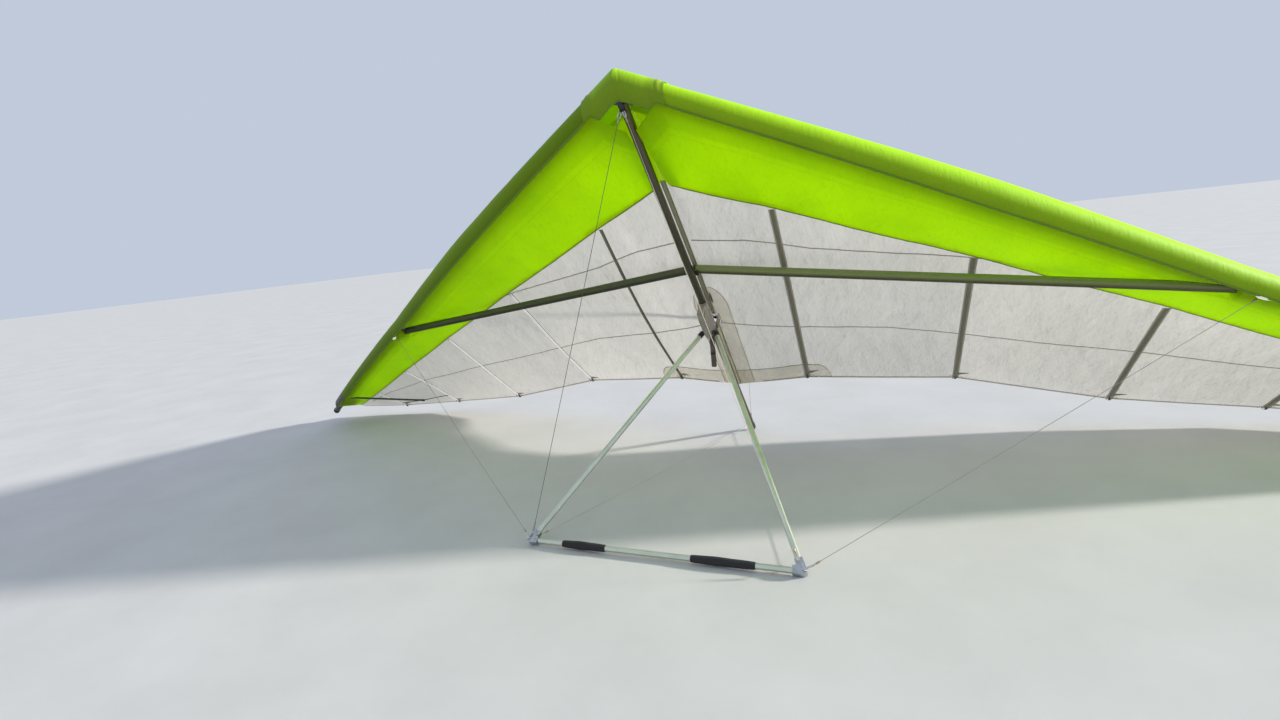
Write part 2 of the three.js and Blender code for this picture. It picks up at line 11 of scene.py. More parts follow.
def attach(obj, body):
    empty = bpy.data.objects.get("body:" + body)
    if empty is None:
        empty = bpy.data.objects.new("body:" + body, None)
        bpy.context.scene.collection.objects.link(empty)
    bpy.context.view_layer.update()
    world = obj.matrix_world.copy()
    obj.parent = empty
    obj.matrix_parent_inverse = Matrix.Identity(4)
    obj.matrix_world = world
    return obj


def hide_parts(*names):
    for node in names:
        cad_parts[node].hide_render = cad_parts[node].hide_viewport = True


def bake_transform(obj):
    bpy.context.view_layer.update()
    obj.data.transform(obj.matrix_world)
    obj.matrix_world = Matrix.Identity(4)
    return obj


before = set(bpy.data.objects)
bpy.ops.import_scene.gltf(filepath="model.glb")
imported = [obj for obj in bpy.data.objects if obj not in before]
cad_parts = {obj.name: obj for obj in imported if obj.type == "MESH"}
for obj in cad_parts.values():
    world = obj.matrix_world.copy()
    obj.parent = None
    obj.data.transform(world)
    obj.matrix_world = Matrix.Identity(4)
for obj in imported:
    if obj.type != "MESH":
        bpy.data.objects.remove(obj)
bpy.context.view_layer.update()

# The glider's own axes, in metres: x to the pilot's left, s aft along the keel, n up from it
HALF_NOSE = 1.0229
SIN_NOSE = math.sin(HALF_NOSE)
COS_NOSE = math.cos(HALF_NOSE)
KEEL_FRONT, KEEL_END, KEEL_RADIUS = 0.112, 2.850, 0.021
EDGE_MEET, EDGE_START, EDGE_END, EDGE_RADIUS = 0.037, 0.075, 5.050, 0.026
EDGE_N, JUNCTION_N, TIP_N = 0.026, 0.031, 0.001
EDGE_BOW, EDGE_BEND, BEND_FROM = 0.027, 0.059, 2.913
SLEEVE_PLACES, SLEEVE_RADII = (0.0, 1.500, 4.140), (0.049, 0.078, 0.060)
SEAM_PLACES, SEAM_ANGLES = (0.0, 3.000), (-89.0, -75.0)
SLEEVE_REACH, SLEEVE_START, SLEEVE_STOP = 0.130, 0.060, 4.850
CROSS_CENTRE, CROSS_END = np.array((0.0, 1.212, 0.0575)), np.array((2.571, 1.609, 0.038))
CROSS_RADIUS, CROSS_START, CROSS_STOP, CROSS_TO_EDGE = 0.025, 0.012, 2.540, 0.004
BATTEN_FRONTS = np.array((0.494, 1.432, 2.318, 3.099, 3.675))
BATTEN_REARS = np.array((0.460, 1.380, 2.270, 3.060, 3.650))
STATIONS = np.array([
    (0, 2.376, 0.066, 0.059),
    (0.460, 2.417, 0.148, 0.069),
    (1.380, 2.665, 0.310, 0.055),
    (2.270, 2.913, 0.309, 0.060),
    (3.060, 3.016, 0.317, 0.036),
    (3.650, 2.957, 0.225, 0.018),
    (4.142, 2.868, 0.150, 0.018),
])
GREEN_AT_KEEL, GREEN_SLOPE = 0.633, 0.528
STRUT_OUTER, STRUT_INNER = (3.880, 2.478, -0.004), (3.350, 2.850, 0.215)
APEX = np.array((0.040, 1.632, -0.068))
BASE = np.array((0.695, 1.5554, -1.4917))
BAR_RADIUS = 0.0143
CHEEK = 0.0183
MAST_S, MAST_TOP, MAST_BOTTOM, MAST_RADIUS = 1.675, 1.080, 0.088, 0.014
HOLE_HALF, HOLE_FRONT, HOLE_REAR = 0.029, 1.646, 1.706
STRAP_S, STRAP_N, STRAP_LENGTH = 1.675, -0.052, 0.215
FITTING = 0.040
CLOTH = 0.0014
SIDES = (("left", 1), ("right", -1))
X_AXIS = np.array((1.0, 0.0, 0.0))
TURN = 2 * math.pi
TRIM, CORNER_STEPS, SHARP_ANGLE = 0.0008, 5, 38


def unit(vector):
    vector = np.asarray(vector, float)
    return vector / np.linalg.norm(vector, axis=-1, keepdims=True)


# The keel's two ends give the glider's axes in the row frame
def keel_axes():
    corners = np.array([v.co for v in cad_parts["keel"].data.vertices])
    rear = corners[:, 1] > corners[:, 1].mean()
    front_end, rear_end = corners[~rear].mean(axis=0), corners[rear].mean(axis=0)
    aft = unit(rear_end - front_end)
    return np.array((X_AXIS, aft, np.cross(X_AXIS, aft))), front_end - aft * KEEL_FRONT


AXES, ORIGIN = keel_axes()


def to_world(points):
    return ORIGIN + np.asarray(points, float) @ AXES


# The wing's shape, as the CAD has it


def edge_point(along):
    along = np.asarray(along, float)
    outer = np.clip((along - BEND_FROM) / (EDGE_END - BEND_FROM), 0, None)
    inner = np.clip(along / BEND_FROM, 0, 1)
    slope = (JUNCTION_N - EDGE_N) / BEND_FROM
    droop = TIP_N - (EDGE_N + slope * EDGE_END)
    aft = EDGE_MEET + along * COS_NOSE + EDGE_BEND * outer**2 - EDGE_BOW * np.sin(np.pi * inner)
    return np.stack((along * SIN_NOSE, aft, EDGE_N + slope * along + droop * outer**2), axis=-1)


def edge_at(x):
    return edge_point(np.abs(x) / SIN_NOSE)


def sleeve_radius(x):
    return np.interp(np.abs(x), SLEEVE_PLACES, SLEEVE_RADII)


def station_at(x):
    return (np.interp(np.abs(x), STATIONS[:, 0], STATIONS[:, k]) for k in (1, 2, 3))


def sail_height(x, s):
    front = edge_at(x)
    trail_s, trail_n, camber = station_at(x)
    share = np.clip((s - front[..., 1]) / (trail_s - front[..., 1]), 0, 1)
    rise = front[..., 2] + (trail_n - front[..., 2]) * share
    return rise + camber * np.sin(np.pi * share**0.5)


def trail_edge(x):
    return np.interp(np.abs(x), STATIONS[:, 0], STATIONS[:, 1])


def green_edge(x):
    return np.minimum(GREEN_AT_KEEL + GREEN_SLOPE * np.abs(x), trail_edge(x) - 0.018)


# Where each batten lies across the span at some s: they splay out towards the leading edge
def batten_places(s):
    fronts, rears = green_edge(BATTEN_FRONTS), trail_edge(BATTEN_REARS)
    share = np.clip((np.asarray(s, float)[..., None] - fronts) / (rears - fronts), -0.3, 1)
    return BATTEN_FRONTS + (BATTEN_REARS - BATTEN_FRONTS) * share


def crossbar_point(x):
    return CROSS_CENTRE + (CROSS_END - CROSS_CENTRE) * (np.abs(x) / CROSS_END[0]) * (np.sign(x) or 1, 1, 1)


TIP_X = float(edge_point(SLEEVE_STOP)[0])


# Whole numbers that turn the corner of a cell into a fixed random value
PRIMES = np.array((73856093, 19349663, 83492791))
MIX_FIRST, MIX_SECOND, WORD = 2654435761, 2246822519, 0xFFFFFFFF


# Smooth random values from -1 to 1, with bumps about size metres apart
def wander(points, size, seed=0):
    cell = np.asarray(points, float) / size + 31.7 * (seed + 1)
    base = np.floor(cell).astype(np.int64)
    part = cell - base
    part = part * part * (3 - 2 * part)
    total = np.zeros(part.shape[:-1])
    for corner in itertools.product((0, 1), repeat=part.shape[-1]):
        key = (base + corner) * PRIMES[: len(corner)]
        with np.errstate(over="ignore"):
            mixed = np.bitwise_xor.reduce(key, axis=-1) * MIX_FIRST & WORD
            mixed = (mixed ^ (mixed >> 15)) * MIX_SECOND & WORD
        weight = np.prod(np.where(corner, part, 1 - part), axis=-1)
        total += weight * (mixed / 2**31 - 1)
    return total


# The sail as it lies on the parked frame: fine creases along the chord and a slight sag between battens
def sail_rise(x, s):
    x, s = np.broadcast_arrays(np.asarray(x, float), np.asarray(s, float))
    front = edge_at(x)[..., 1]
    ease = np.clip((s - front - SLEEVE_REACH) / 0.25, 0, 1) * np.clip((trail_edge(x) - s) / 0.06, 0.2, 1)
    creases = 0.0016 * wander(np.stack((x * 3.4, s), axis=-1), 0.21, 3)
    creases += 0.0010 * wander(np.stack((x * 2.4, s * 0.8), axis=-1), 0.075, 5)
    places = batten_places(s)
    keel_line = np.zeros_like(places[..., :1])
    places = np.concatenate((keel_line, places, keel_line + TIP_X), -1)
    inside = np.clip(np.sum(np.abs(x)[..., None] >= places, axis=-1) - 1, 0, len(BATTEN_REARS))
    low = np.take_along_axis(places, inside[..., None], -1)[..., 0]
    high = np.take_along_axis(places, inside[..., None] + 1, -1)[..., 0]
    across = np.clip((np.abs(x) - low) / (high - low), 0, 1)
    sag = 0.007 * np.sin(np.pi * across) ** 2
    return sail_height(x, s) + ease * (creases - sag)


def on_sail(x, s, drop=0.0):
    x, s = np.broadcast_arrays(np.asarray(x, float), np.asarray(s, float))
    return np.stack((x, s, sail_rise(x, s) - drop), axis=-1)


# Solids: each is a dict of points in glider axes, faces, uv and a look for each face


def solid(points, faces, uv=None, look=0):
    points = np.asarray(points, float).reshape(-1, 3)
    uv = np.zeros((len(points), 2)) if uv is None else np.asarray(uv, float).reshape(-1, 2)
    return {"points": points, "faces": faces, "uv": uv, "looks": [look] * len(faces)}


def merged(solids):
    faces, looks, start = [], [], 0
    for s in solids:
        faces += [tuple(v + start for v in face) for face in s["faces"]]
        looks += s["looks"]
        start += len(s["points"])
    points = np.concatenate([s["points"] for s in solids])
    whole = solid(points, faces, np.concatenate([s["uv"] for s in solids]))
    whole["looks"] = looks
    return whole


# Cloth on a grid of points: keep says which cells are cloth, and pattern gives the look of each
def shell(grid, thickness=CLOTH, uv=None, look=0, keep=None, pattern=None):
    grid = np.asarray(grid, float)
    rows, columns = grid.shape[:2]
    count = rows * columns
    half = unit(np.cross(np.gradient(grid, axis=0), np.gradient(grid, axis=1))) * thickness / 2
    points = np.concatenate(((grid + half).reshape(-1, 3), (grid - half).reshape(-1, 3)))
    keep = np.ones((rows - 1, columns - 1), bool) if keep is None else keep
    border = np.pad(keep, 1)
    faces, kinds = [], []
    for i, j in zip(*np.nonzero(keep)):
        a, b = i * columns + j, i * columns + j + 1
        d, c = a + columns, b + columns
        beside = ((i, j + 1), (i + 2, j + 1), (i + 1, j), (i + 1, j + 2))
        sides = zip(beside, ((a, b), (c, d), (d, a), (b, c)))
        rim = [(p, q, q + count, p + count) for cell, (p, q) in sides if not border[cell]]
        faces += [(a, d, c, b), (a + count, b + count, c + count, d + count), *rim]
        kinds += [look if pattern is None else int(pattern[i, j])] * (2 + len(rim))
    uv = np.zeros((count, 2)) if uv is None else np.asarray(uv, float).reshape(-1, 2)
    whole = solid(points, faces, np.concatenate((uv, uv)))
    whole["looks"] = kinds
    return without_loose(whole)


def without_loose(whole):
    used = np.unique(np.concatenate([np.array(face) for face in whole["faces"]]))
    renumber = np.full(len(whole["points"]), -1)
    renumber[used] = np.arange(len(used))
    whole["points"], whole["uv"] = whole["points"][used], whole["uv"][used]
    whole["faces"] = [tuple(int(renumber[v]) for v in face) for face in whole["faces"]]
    return whole


# Rings of points joined into a closed solid, with flat ends unless the rings close on themselves
def loft(rings, look=0, uv=None, closed=False):
    rings = np.asarray(rings, float)
    rows, columns = rings.shape[:2]
    count = rows * columns
    faces = []
    for i in range(rows if closed else rows - 1):
        for j in range(columns):
            a, b = i * columns + j, i * columns + (j + 1) % columns
            faces.append((a, b, (b + columns) % count, (a + columns) % count))
    if not closed:
        faces += [tuple(range(columns)), tuple(range(count - 1, count - columns - 1, -1))]
    return solid(rings, faces, uv, look)


def side_axes(direction):
    direction = unit(direction)
    helper = np.array((0.0, 0.0, 1.0)) if abs(direction[2]) < 0.9 else X_AXIS
    u = unit(np.cross(helper, direction))
    return u, np.cross(direction, u)


def spokes_round(aim, sides):
    """Angles round a direction, and the unit spokes at those angles."""
    u, v = side_axes(aim)
    angles = np.linspace(0, TURN, sides, endpoint=False)
    return angles, np.cos(angles)[:, None] * u + np.sin(angles)[:, None] * v


def distance(start, end):
    return float(np.linalg.norm(np.asarray(end) - np.asarray(start)))


def along_line(start, end, far):
    start, end = np.asarray(start, float), np.asarray(end, float)
    return start + unit(end - start) * far


def mirror(point, sign):
    return np.asarray(point, float) * (sign, 1, 1)


def turned(start, end, profile, sides=48, look=0):
    """A turned solid from radius and distance along the line from start towards end."""
    start, end = np.asarray(start, float), np.asarray(end, float)
    aim = unit(end - start)
    angles, spokes = spokes_round(aim, sides)
    closed = profile[0] == profile[-1]
    stops = profile[:-1] if closed else profile
    rings = [start + aim * y + spokes * max(r, 1e-5) for r, y in stops]
    uv = [[(a / TURN, y) for a in angles] for _, y in stops]
    return loft(rings, look, uv, closed)


def pipe(start, end, radius, wall):
    """A tube with softly broken rims."""
    length, soft, inner = distance(start, end), wall * 0.35, radius - wall
    profile = [(radius - soft, 0)] + [(radius, y) for y in np.linspace(soft, length - soft, 24)]
    profile += [(radius - soft, length), (inner, length), (inner, 0), (radius - soft, 0)]
    return turned(start, end, profile)


def rod(start, end, radius, sides=20, look=0, soft=0.0008):
    length = distance(start, end)
    profile = [(0, 0), (radius - soft, 0), (radius, soft)]
    profile += [(radius, length - soft), (radius - soft, length), (0, length)]
    return turned(start, end, profile, sides, look)


def sweep(path, radius, sides=12, look=0):
    """A round tube along a path of points."""
    path = np.asarray(path, float)
    radius = np.broadcast_to(radius, len(path))
    tangent = unit(np.gradient(path, axis=0))
    u, _ = side_axes(tangent[0])
    angles = np.linspace(0, TURN, sides, endpoint=False)
    travelled = np.concatenate(((0,), np.cumsum(np.linalg.norm(np.diff(path, axis=0), axis=1))))
    rings, uv = [], []
    for place, aim, r, far in zip(path, tangent, radius, travelled):
        u = unit(u - aim * (u @ aim))
        v = np.cross(aim, u)
        rings.append(place + r * (np.cos(angles)[:, None] * u + np.sin(angles)[:, None] * v))
        uv.append([(a / TURN, far) for a in angles])
    return loft(rings, look, uv)


def smooth(points, count):
    """A smooth path of count points through a few points."""
    points = np.asarray(points, float)
    padded = np.concatenate((2 * points[:1] - points[1:2], points, 2 * points[-1:] - points[-2:-1]))
    path = []
    for t in np.linspace(0, len(points) - 1.0001, count):
        k, u = int(t), t - int(t)
        p0, p1, p2, p3 = padded[k:k + 4]
        bend = 2 * p0 - 5 * p1 + 4 * p2 - p3 + u * (3 * (p1 - p2) + p3 - p0)
        path.append(p1 + 0.5 * u * (p2 - p0 + u * bend))
    return np.array(path)


def slab(outline, low, high, basis, centre=(0, 0, 0), chamfer=0.0006, look=0):
    """A plate: an outline along two directions of the basis, from low to high along the third."""
    outline = np.asarray(outline, float)
    before, after = np.roll(outline, 1, axis=0), np.roll(outline, -1, axis=0)
    e1, e2 = unit(outline - before), unit(after - outline)
    n1, n2 = np.stack((e1[:, 1], -e1[:, 0]), -1), np.stack((e2[:, 1], -e2[:, 0]), -1)
    area = 0.5 * np.sum(outline[:, 0] * after[:, 1] - after[:, 0] * outline[:, 1])
    lean = (n1 + n2) / np.maximum(1 + np.sum(n1 * n2, axis=1), 0.4)[:, None] * (1 if area > 0 else -1)
    inset = outline - lean * chamfer
    levels = ((inset, low), (outline, low + chamfer), (outline, high - chamfer), (inset, high))
    rings = [np.column_stack((shape, np.full(len(shape), w))) @ basis + centre for shape, w in levels]
    return loft(rings, look)


def rounded(corners, radius):
    """An outline with its corners rounded."""
    corners = np.asarray(corners, float)
    points = []
    for before, corner, after in zip(np.roll(corners, 1, axis=0), corners, np.roll(corners, -1, axis=0)):
        reach = min(radius, 0.45 * distance(before, corner), 0.45 * distance(after, corner))
        start, end = along_line(corner, before, reach), along_line(corner, after, reach)
        for t in np.linspace(0, 1, CORNER_STEPS):
            points.append((1 - t) ** 2 * start + 2 * t * (1 - t) * corner + t**2 * end)
    return np.array(points)


def bolt(place, axis, across=0.010, head=0.005, look=0):
    """A hexagonal bolt head or nut on its washer, standing on a surface at place."""
    place, axis = np.asarray(place, float), unit(axis)
    washer, r, top = across * 0.78, across / math.sqrt(3), head + 0.0012
    parts = (
        (20, [(0, 0), (washer, 0), (washer, 0.0012), (0, 0.0012)]),
        (6, [(0, 0.0012), (r, 0.0012), (r, head), (r * 0.86, top), (0, top)]),
        (12, [(0, head), (r * 0.5, head), (r * 0.5, head + 0.004), (0, head + 0.0045)]),
    )
    return merged([turned(place, place + axis, profile, sides, look) for sides, profile in parts])


def make(name, solids, kinds, node, body="airframe"):
    """A Blender object from solids, with its looks by name, for a CAD node if it stands for one."""
    whole = merged(solids) if isinstance(solids, (list, tuple)) else solids
    mesh = bpy.data.meshes.new(name)
    mesh.from_pydata(to_world(whole["points"]).tolist(), [], whole["faces"])
    for kind in kinds.split():
        mesh.materials.append(looks[kind])
    mesh.polygons.foreach_set("material_index", whole["looks"])
    corners = np.empty(len(mesh.loops), np.int32)
    mesh.loops.foreach_get("vertex_index", corners)
    mesh.uv_layers.new(name="Cloth").data.foreach_set("uv", whole["uv"][corners].astype(np.float32).ravel())
    shape = bmesh.new()
    shape.from_mesh(mesh)
    bmesh.ops.remove_doubles(shape, verts=shape.verts, dist=2e-6)
    bmesh.ops.dissolve_degenerate(shape, dist=1e-6, edges=shape.edges)
    bmesh.ops.recalc_face_normals(shape, faces=shape.faces)
    shape.to_mesh(mesh)
    shape.free()
    mesh.polygons.foreach_set("use_smooth", [True] * len(mesh.polygons))
    mesh.set_sharp_from_angle(angle=math.radians(SHARP_ANGLE))
    piece = bpy.data.objects.new(name, mesh)
    bpy.context.scene.collection.objects.link(piece)
    if body:
        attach(piece, body)
    if node:
        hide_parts(node)
    return piece


# Materials


def plug(tree, socket, value):
    """Links a socket to another one, or sets its value."""
    if isinstance(value, bpy.types.NodeSocket):
        tree.links.new(value, socket)
    else:
        socket.default_value = value


def add(tree, kind, values=None, **settings):
    node = tree.nodes.new(kind)
    for key, value in settings.items():
        setattr(node, key, value)
    for key, value in (values or {}).items():
        plug(tree, node.inputs[key], value)
    return node


def new_look(name):
    look = bpy.data.materials.new(name)
    look.use_nodes = True
    look.node_tree.nodes.clear()
    return look, look.node_tree


def glider_coords(tree, stretch=(1, 1, 1), turn=0.0):
    """Metres along the glider's own axes, turned in the wing's plane and stretched."""
    where = add(tree, "ShaderNodeTexCoord").outputs["Object"]
    pitch = math.atan2(-AXES[1][2], AXES[1][1])
    values = {"Vector": where, "Location": tuple(ORIGIN), "Rotation": (-pitch, 0, 0)}
    own = add(tree, "ShaderNodeMapping", values, vector_type="TEXTURE").outputs["Vector"]
    if turn:
        own = add(tree, "ShaderNodeMapping", {"Vector": own, "Rotation": (0, 0, turn)}).outputs["Vector"]
    return add(tree, "ShaderNodeMapping", {"Vector": own, "Scale": stretch}).outputs["Vector"]


def noise(tree, where, scale, detail=3.0, roughness=0.5):
    values = {"Vector": where, "Scale": scale, "Detail": detail, "Roughness": roughness}
    return add(tree, "ShaderNodeTexNoise", values).outputs["Fac"]


def ramp(tree, value, stops):
    """Colours or greys along a value: stops are (place, colour)."""
    node = add(tree, "ShaderNodeValToRGB", {"Fac": value})
    elements = node.color_ramp.elements
    while len(elements) < len(stops):
        elements.new(0.5)
    for element, (place, colour) in zip(elements, stops):
        element.position = place
        element.color = (*colour, 1) if hasattr(colour, "__len__") else (colour, colour, colour, 1)
    return node.outputs["Color"]


def blend_colour(tree, share, a, b, kind="MIX"):
    node = add(tree, "ShaderNodeMix", data_type="RGBA", blend_type=kind)
    for name, kind_of, value in (("Factor", "VALUE", share), ("A", "RGBA", a), ("B", "RGBA", b)):
        socket = next(s for s in node.inputs if s.name == name and s.type == kind_of)
        plug(tree, socket, (*value, 1) if isinstance(value, tuple) else value)
    return next(s for s in node.outputs if s.type == "RGBA")


def maths(tree, operation, a, b=0.0, clamp=False):
    node = add(tree, "ShaderNodeMath", operation=operation, use_clamp=clamp)
    for socket, value in zip(node.inputs, (a, b, 0.5)):
        plug(tree, socket, value)
    return node.outputs[0]


def bump(tree, height, strength, distance_m, normal=None):
    values = {"Height": height, "Strength": strength, "Distance": distance_m}
    if normal is not None:
        values["Normal"] = normal
    return add(tree, "ShaderNodeBump", values).outputs["Normal"]


def finish_look(look, shader):
    tree = look.node_tree
    tree.links.new(shader, add(tree, "ShaderNodeOutputMaterial").inputs["Surface"])
    return look


def principled(tree, colour, roughness, normal=None, **fixed):
    values = {"Base Color": colour, "Roughness": roughness}
    if normal is not None:
        values["Normal"] = normal
    node = add(tree, "ShaderNodeBsdfPrincipled", values)
    for key, value in fixed.items():
        node.inputs[key.replace("_", " ")].default_value = value
    return node.outputs["BSDF"]


def cloth_depth(tree):
    """The uv's second axis: metres along the cloth from its seam."""
    uv = add(tree, "ShaderNodeTexCoord").outputs["UV"]
    return add(tree, "ShaderNodeSeparateXYZ", {"Vector": uv}).outputs["Y"]


def dimmed(tree, stops):
    """Greys along the cloth from its seam, where a darker insert behind it and painted shade dim it."""
    share = maths(tree, "MULTIPLY", cloth_depth(tree), 1 / DIM_REACH, clamp=True)
    return ramp(tree, share, [(place / DIM_REACH, grey) for place, grey in stops])


def banded(tree, bands):
    """Darker bands across the cloth, each (from, to, strength): painted shadow where a second layer lies
    behind it against the light.
    """
    depth = cloth_depth(tree)
    total = 0.0
    for start, stop, strength in bands:
        rise = maths(tree, "MULTIPLY", maths(tree, "SUBTRACT", depth, start), 1 / BAND_SOFT, clamp=True)
        fall = maths(tree, "MULTIPLY", maths(tree, "SUBTRACT", stop, depth), 1 / BAND_SOFT, clamp=True)
        inside = maths(tree, "MULTIPLY", maths(tree, "MULTIPLY", rise, fall), strength)
        total = maths(tree, "MAXIMUM", total, inside)
    return total


def cloth_look(name, colour, shade, light_through, crinkle=0.35, bands=(), dim=(), lines=0.0,
               roughness=0.45, shine=0.38, open_weave=0.0):
    """Coated sailcloth: a fine weave, creases darkened by painted shade, slight soiling, and light that comes
    through it.
    """
    look, tree = new_look(name)
    where = glider_coords(tree)
    creases = noise(tree, glider_coords(tree, (3.4, 1.0, 1.0)), 22.0, 5.0, 0.62)
    broad = noise(tree, glider_coords(tree, (1.6, 0.8, 1.0)), 5.5, 3.0, 0.55)
    soil = ramp(tree, noise(tree, where, 3.1, 5.0, 0.62), ((0.38, 0.0), (0.72, 1.0)))
    mottled = blend_colour(tree, maths(tree, "MULTIPLY", soil, 0.30), colour, shade)
    # Painted shade: the colour is darkened in the creases
    crease_shade = ramp(tree, creases, ((0.30, 0.84), (0.47, 1.0), (0.54, 1.0), (0.72, 0.90)))
    tinted = blend_colour(tree, 0.5, mottled, crease_shade, "MULTIPLY")
    if bands:
        tinted = blend_colour(tree, banded(tree, bands), tinted, shade)
    if dim:
        tinted = blend_colour(tree, 1.0, tinted, dimmed(tree, dim), "MULTIPLY")
    # Fold lines darkened as painted shade
    if lines:
        for turn, size in ((0.10, 3.2), (-0.45, 4.0)):
            wrinkles = noise(tree, glider_coords(tree, (6.0, 0.75, 1.0), turn), size, 2.0, 0.45)
            tinted = blend_colour(tree, lines, tinted, ramp(tree, wrinkles, FOLD_LINE_SHADE), "MULTIPLY")
    threads = {"Vector": where, "Scale": 420.0, "Distortion": 0.6}
    weave = add(tree, "ShaderNodeTexWave", threads, bands_direction="X").outputs["Fac"]
    weft = add(tree, "ShaderNodeTexWave", threads, bands_direction="Y").outputs["Fac"]
    fine = bump(tree, maths(tree, "MAXIMUM", weave, weft), 0.10, 0.0002)
    rough = bump(tree, maths(tree, "ADD", creases, broad), crinkle, 0.006, fine)
    front = principled(tree, tinted, roughness, rough, Sheen_Weight=0.03, Specular_IOR_Level=shine)
    behind = add(tree, "ShaderNodeBsdfTranslucent", {"Color": tinted, "Normal": rough}).outputs["BSDF"]
    surface = mixed_shader(tree, light_through, front, behind)
    if open_weave:
        gaps = add(tree, "ShaderNodeBsdfTransparent").outputs["BSDF"]
        surface = mixed_shader(tree, open_weave, surface, gaps)
    return finish_look(look, surface)


def mixed_shader(tree, share, first, second):
    return add(tree, "ShaderNodeMixShader", {"Fac": share, 1: first, 2: second}).outputs["Shader"]


def tube_look(name, colour, roughness, metallic=1.0, wear=0.12, brushed=0.12, painted_under_shade=0.0, painted_glow=0.0):
    """Anodised tube: fine lengthwise scratches, dull patches, and painted shade darkening its lower side
    where asked.
    """
    look, tree = new_look(name)
    coords = add(tree, "ShaderNodeTexCoord").outputs
    along = add(tree, "ShaderNodeMapping", {"Vector": coords["UV"], "Scale": (70.0, 3.0, 1.0)})
    scratches = noise(tree, along.outputs["Vector"], 6.0, 5.0, 0.65)
    patches = noise(tree, glider_coords(tree), 9.0, 4.0, 0.6)
    worn = maths(tree, "MULTIPLY", ramp(tree, patches, ((0.42, 0.0), (0.75, 1.0))), wear)
    dulled = blend_colour(tree, worn, colour, tuple(0.45 * c + 0.05 for c in colour))
    streaks = ramp(tree, scratches, ((0.3, 0.75), (0.7, 1.0)))
    tinted = blend_colour(tree, brushed, dulled, streaks, "MULTIPLY")
    # Painted shade: faces turned away from a fixed direction in the glider are darkened
    if painted_under_shade:
        values = {0: coords["Normal"], 1: tuple(PAINTED_SHADE_FROM @ AXES)}
        upward = add(tree, "ShaderNodeVectorMath", values, operation="DOT_PRODUCT").outputs["Value"]
        lower = ramp(tree, maths(tree, "MULTIPLY_ADD", upward, 0.5), ((0.18, 1 - painted_under_shade), (0.46, 1.0)))
        tinted = blend_colour(tree, 1.0, tinted, lower, "MULTIPLY")
    grain = maths(tree, "ADD", roughness - 0.07, maths(tree, "MULTIPLY", patches, 0.16))
    # Emission here is painted light: the part shines though it is no lamp
    fixed = {"Metallic": metallic, "Emission_Color": (1, 1, 1, 1), "Emission_Strength": painted_glow}
    return finish_look(look, principled(tree, tinted, grain, bump(tree, scratches, 0.06, 0.0006), **fixed))


def moulded_look(name, colour, roughness, grain=260.0, depth=0.0003, strength=0.25):
    """Moulded plastic or foam: a fine pebble and slightly paler patches."""
    look, tree = new_look(name)
    where = glider_coords(tree)
    pebble = noise(tree, where, grain, 2.0, 0.5)
    patches = noise(tree, where, 14.0, 4.0, 0.6)
    paler = tuple(min(1, 1.5 * c + 0.012) for c in colour)
    tinted = blend_colour(tree, maths(tree, "MULTIPLY", patches, 0.5), colour, paler)
    matt = maths(tree, "ADD", roughness - 0.08, maths(tree, "MULTIPLY", patches, 0.16))
    pebbled = bump(tree, pebble, strength, depth)
    return finish_look(look, principled(tree, tinted, matt, pebbled, Metallic=0.0))


def webbing_look(name, colour, pitch=0.0022):
    """Woven webbing or thread: diagonal ribs, crossed by finer ones, and a little fuzz."""
    look, tree = new_look(name)
    where = glider_coords(tree)
    ribs = {"Vector": where, "Scale": 0.31 / pitch, "Distortion": 0.4}
    lines = add(tree, "ShaderNodeTexWave", ribs, bands_direction="DIAGONAL")
    finer = {"Vector": where, "Scale": 0.44 / pitch, "Distortion": 0.3}
    cross = add(tree, "ShaderNodeTexWave", finer, bands_direction="X")
    woven = maths(tree, "MULTIPLY", lines.outputs["Fac"], cross.outputs["Fac"])
    fuzz = maths(tree, "MULTIPLY", noise(tree, where, 40.0, 4.0, 0.6), 0.3)
    tinted = blend_colour(tree, woven, tuple(0.6 * c for c in colour), colour)
    worn = blend_colour(tree, fuzz, tinted, tuple(min(1, 1.7 * c) for c in colour))
    return finish_look(look, principled(tree, worn, 0.82, bump(tree, woven, 0.5, 0.0006), Sheen_Weight=0.2))


# The direction that tubes with painted shade stay light towards; their other side is darkened
PAINTED_SHADE_FROM = np.array((0.0, -0.69, 0.72))
DIM_REACH, BAND_SOFT = 0.4, 0.004
FOLD_LINE_SHADE = ((0.43, 0.95), (0.455, 0.88), (0.47, 0.95), (0.535, 0.95), (0.55, 1.0), (0.57, 0.95))
# A dark line along the lower panel's seam, and painted shadows of the leading edge's inner layers
UNDER_SHADOW_BANDS = ((0.0, 0.010, 0.7), (0.0, 0.15, 0.30), (0.185, 0.195, 0.40))
# Darkening from the seam up: the leading edge's insert, and painted shade on the underside of the sleeve and
# nose
SLEEVE_INSERT_AND_SHADE = ((0.0, (0.46, 0.42, 0.36)), (0.045, (0.58, 0.54, 0.46)), (0.10, 0.86), (0.15, 1.0))
# The right sleeve's darkening from its seam is painted shade
SHADE_DIM = ((0.0, 0.22), (0.06, (0.30, 0.30, 0.28)), (0.14, 0.46), (0.26, 1.0))
NOSE_INSERT_AND_SHADE = ((0.0, (0.38, 0.34, 0.28)), (0.09, (0.44, 0.40, 0.33)), (0.16, 0.82), (0.20, 1.0))
LIME, LIME_SHADE = (0.79, 0.98, 0.003), (0.55, 0.78, 0.005)
SLEEVE, SLEEVE_SHADE = (0.50, 0.92, 0.018), (0.36, 0.72, 0.02)
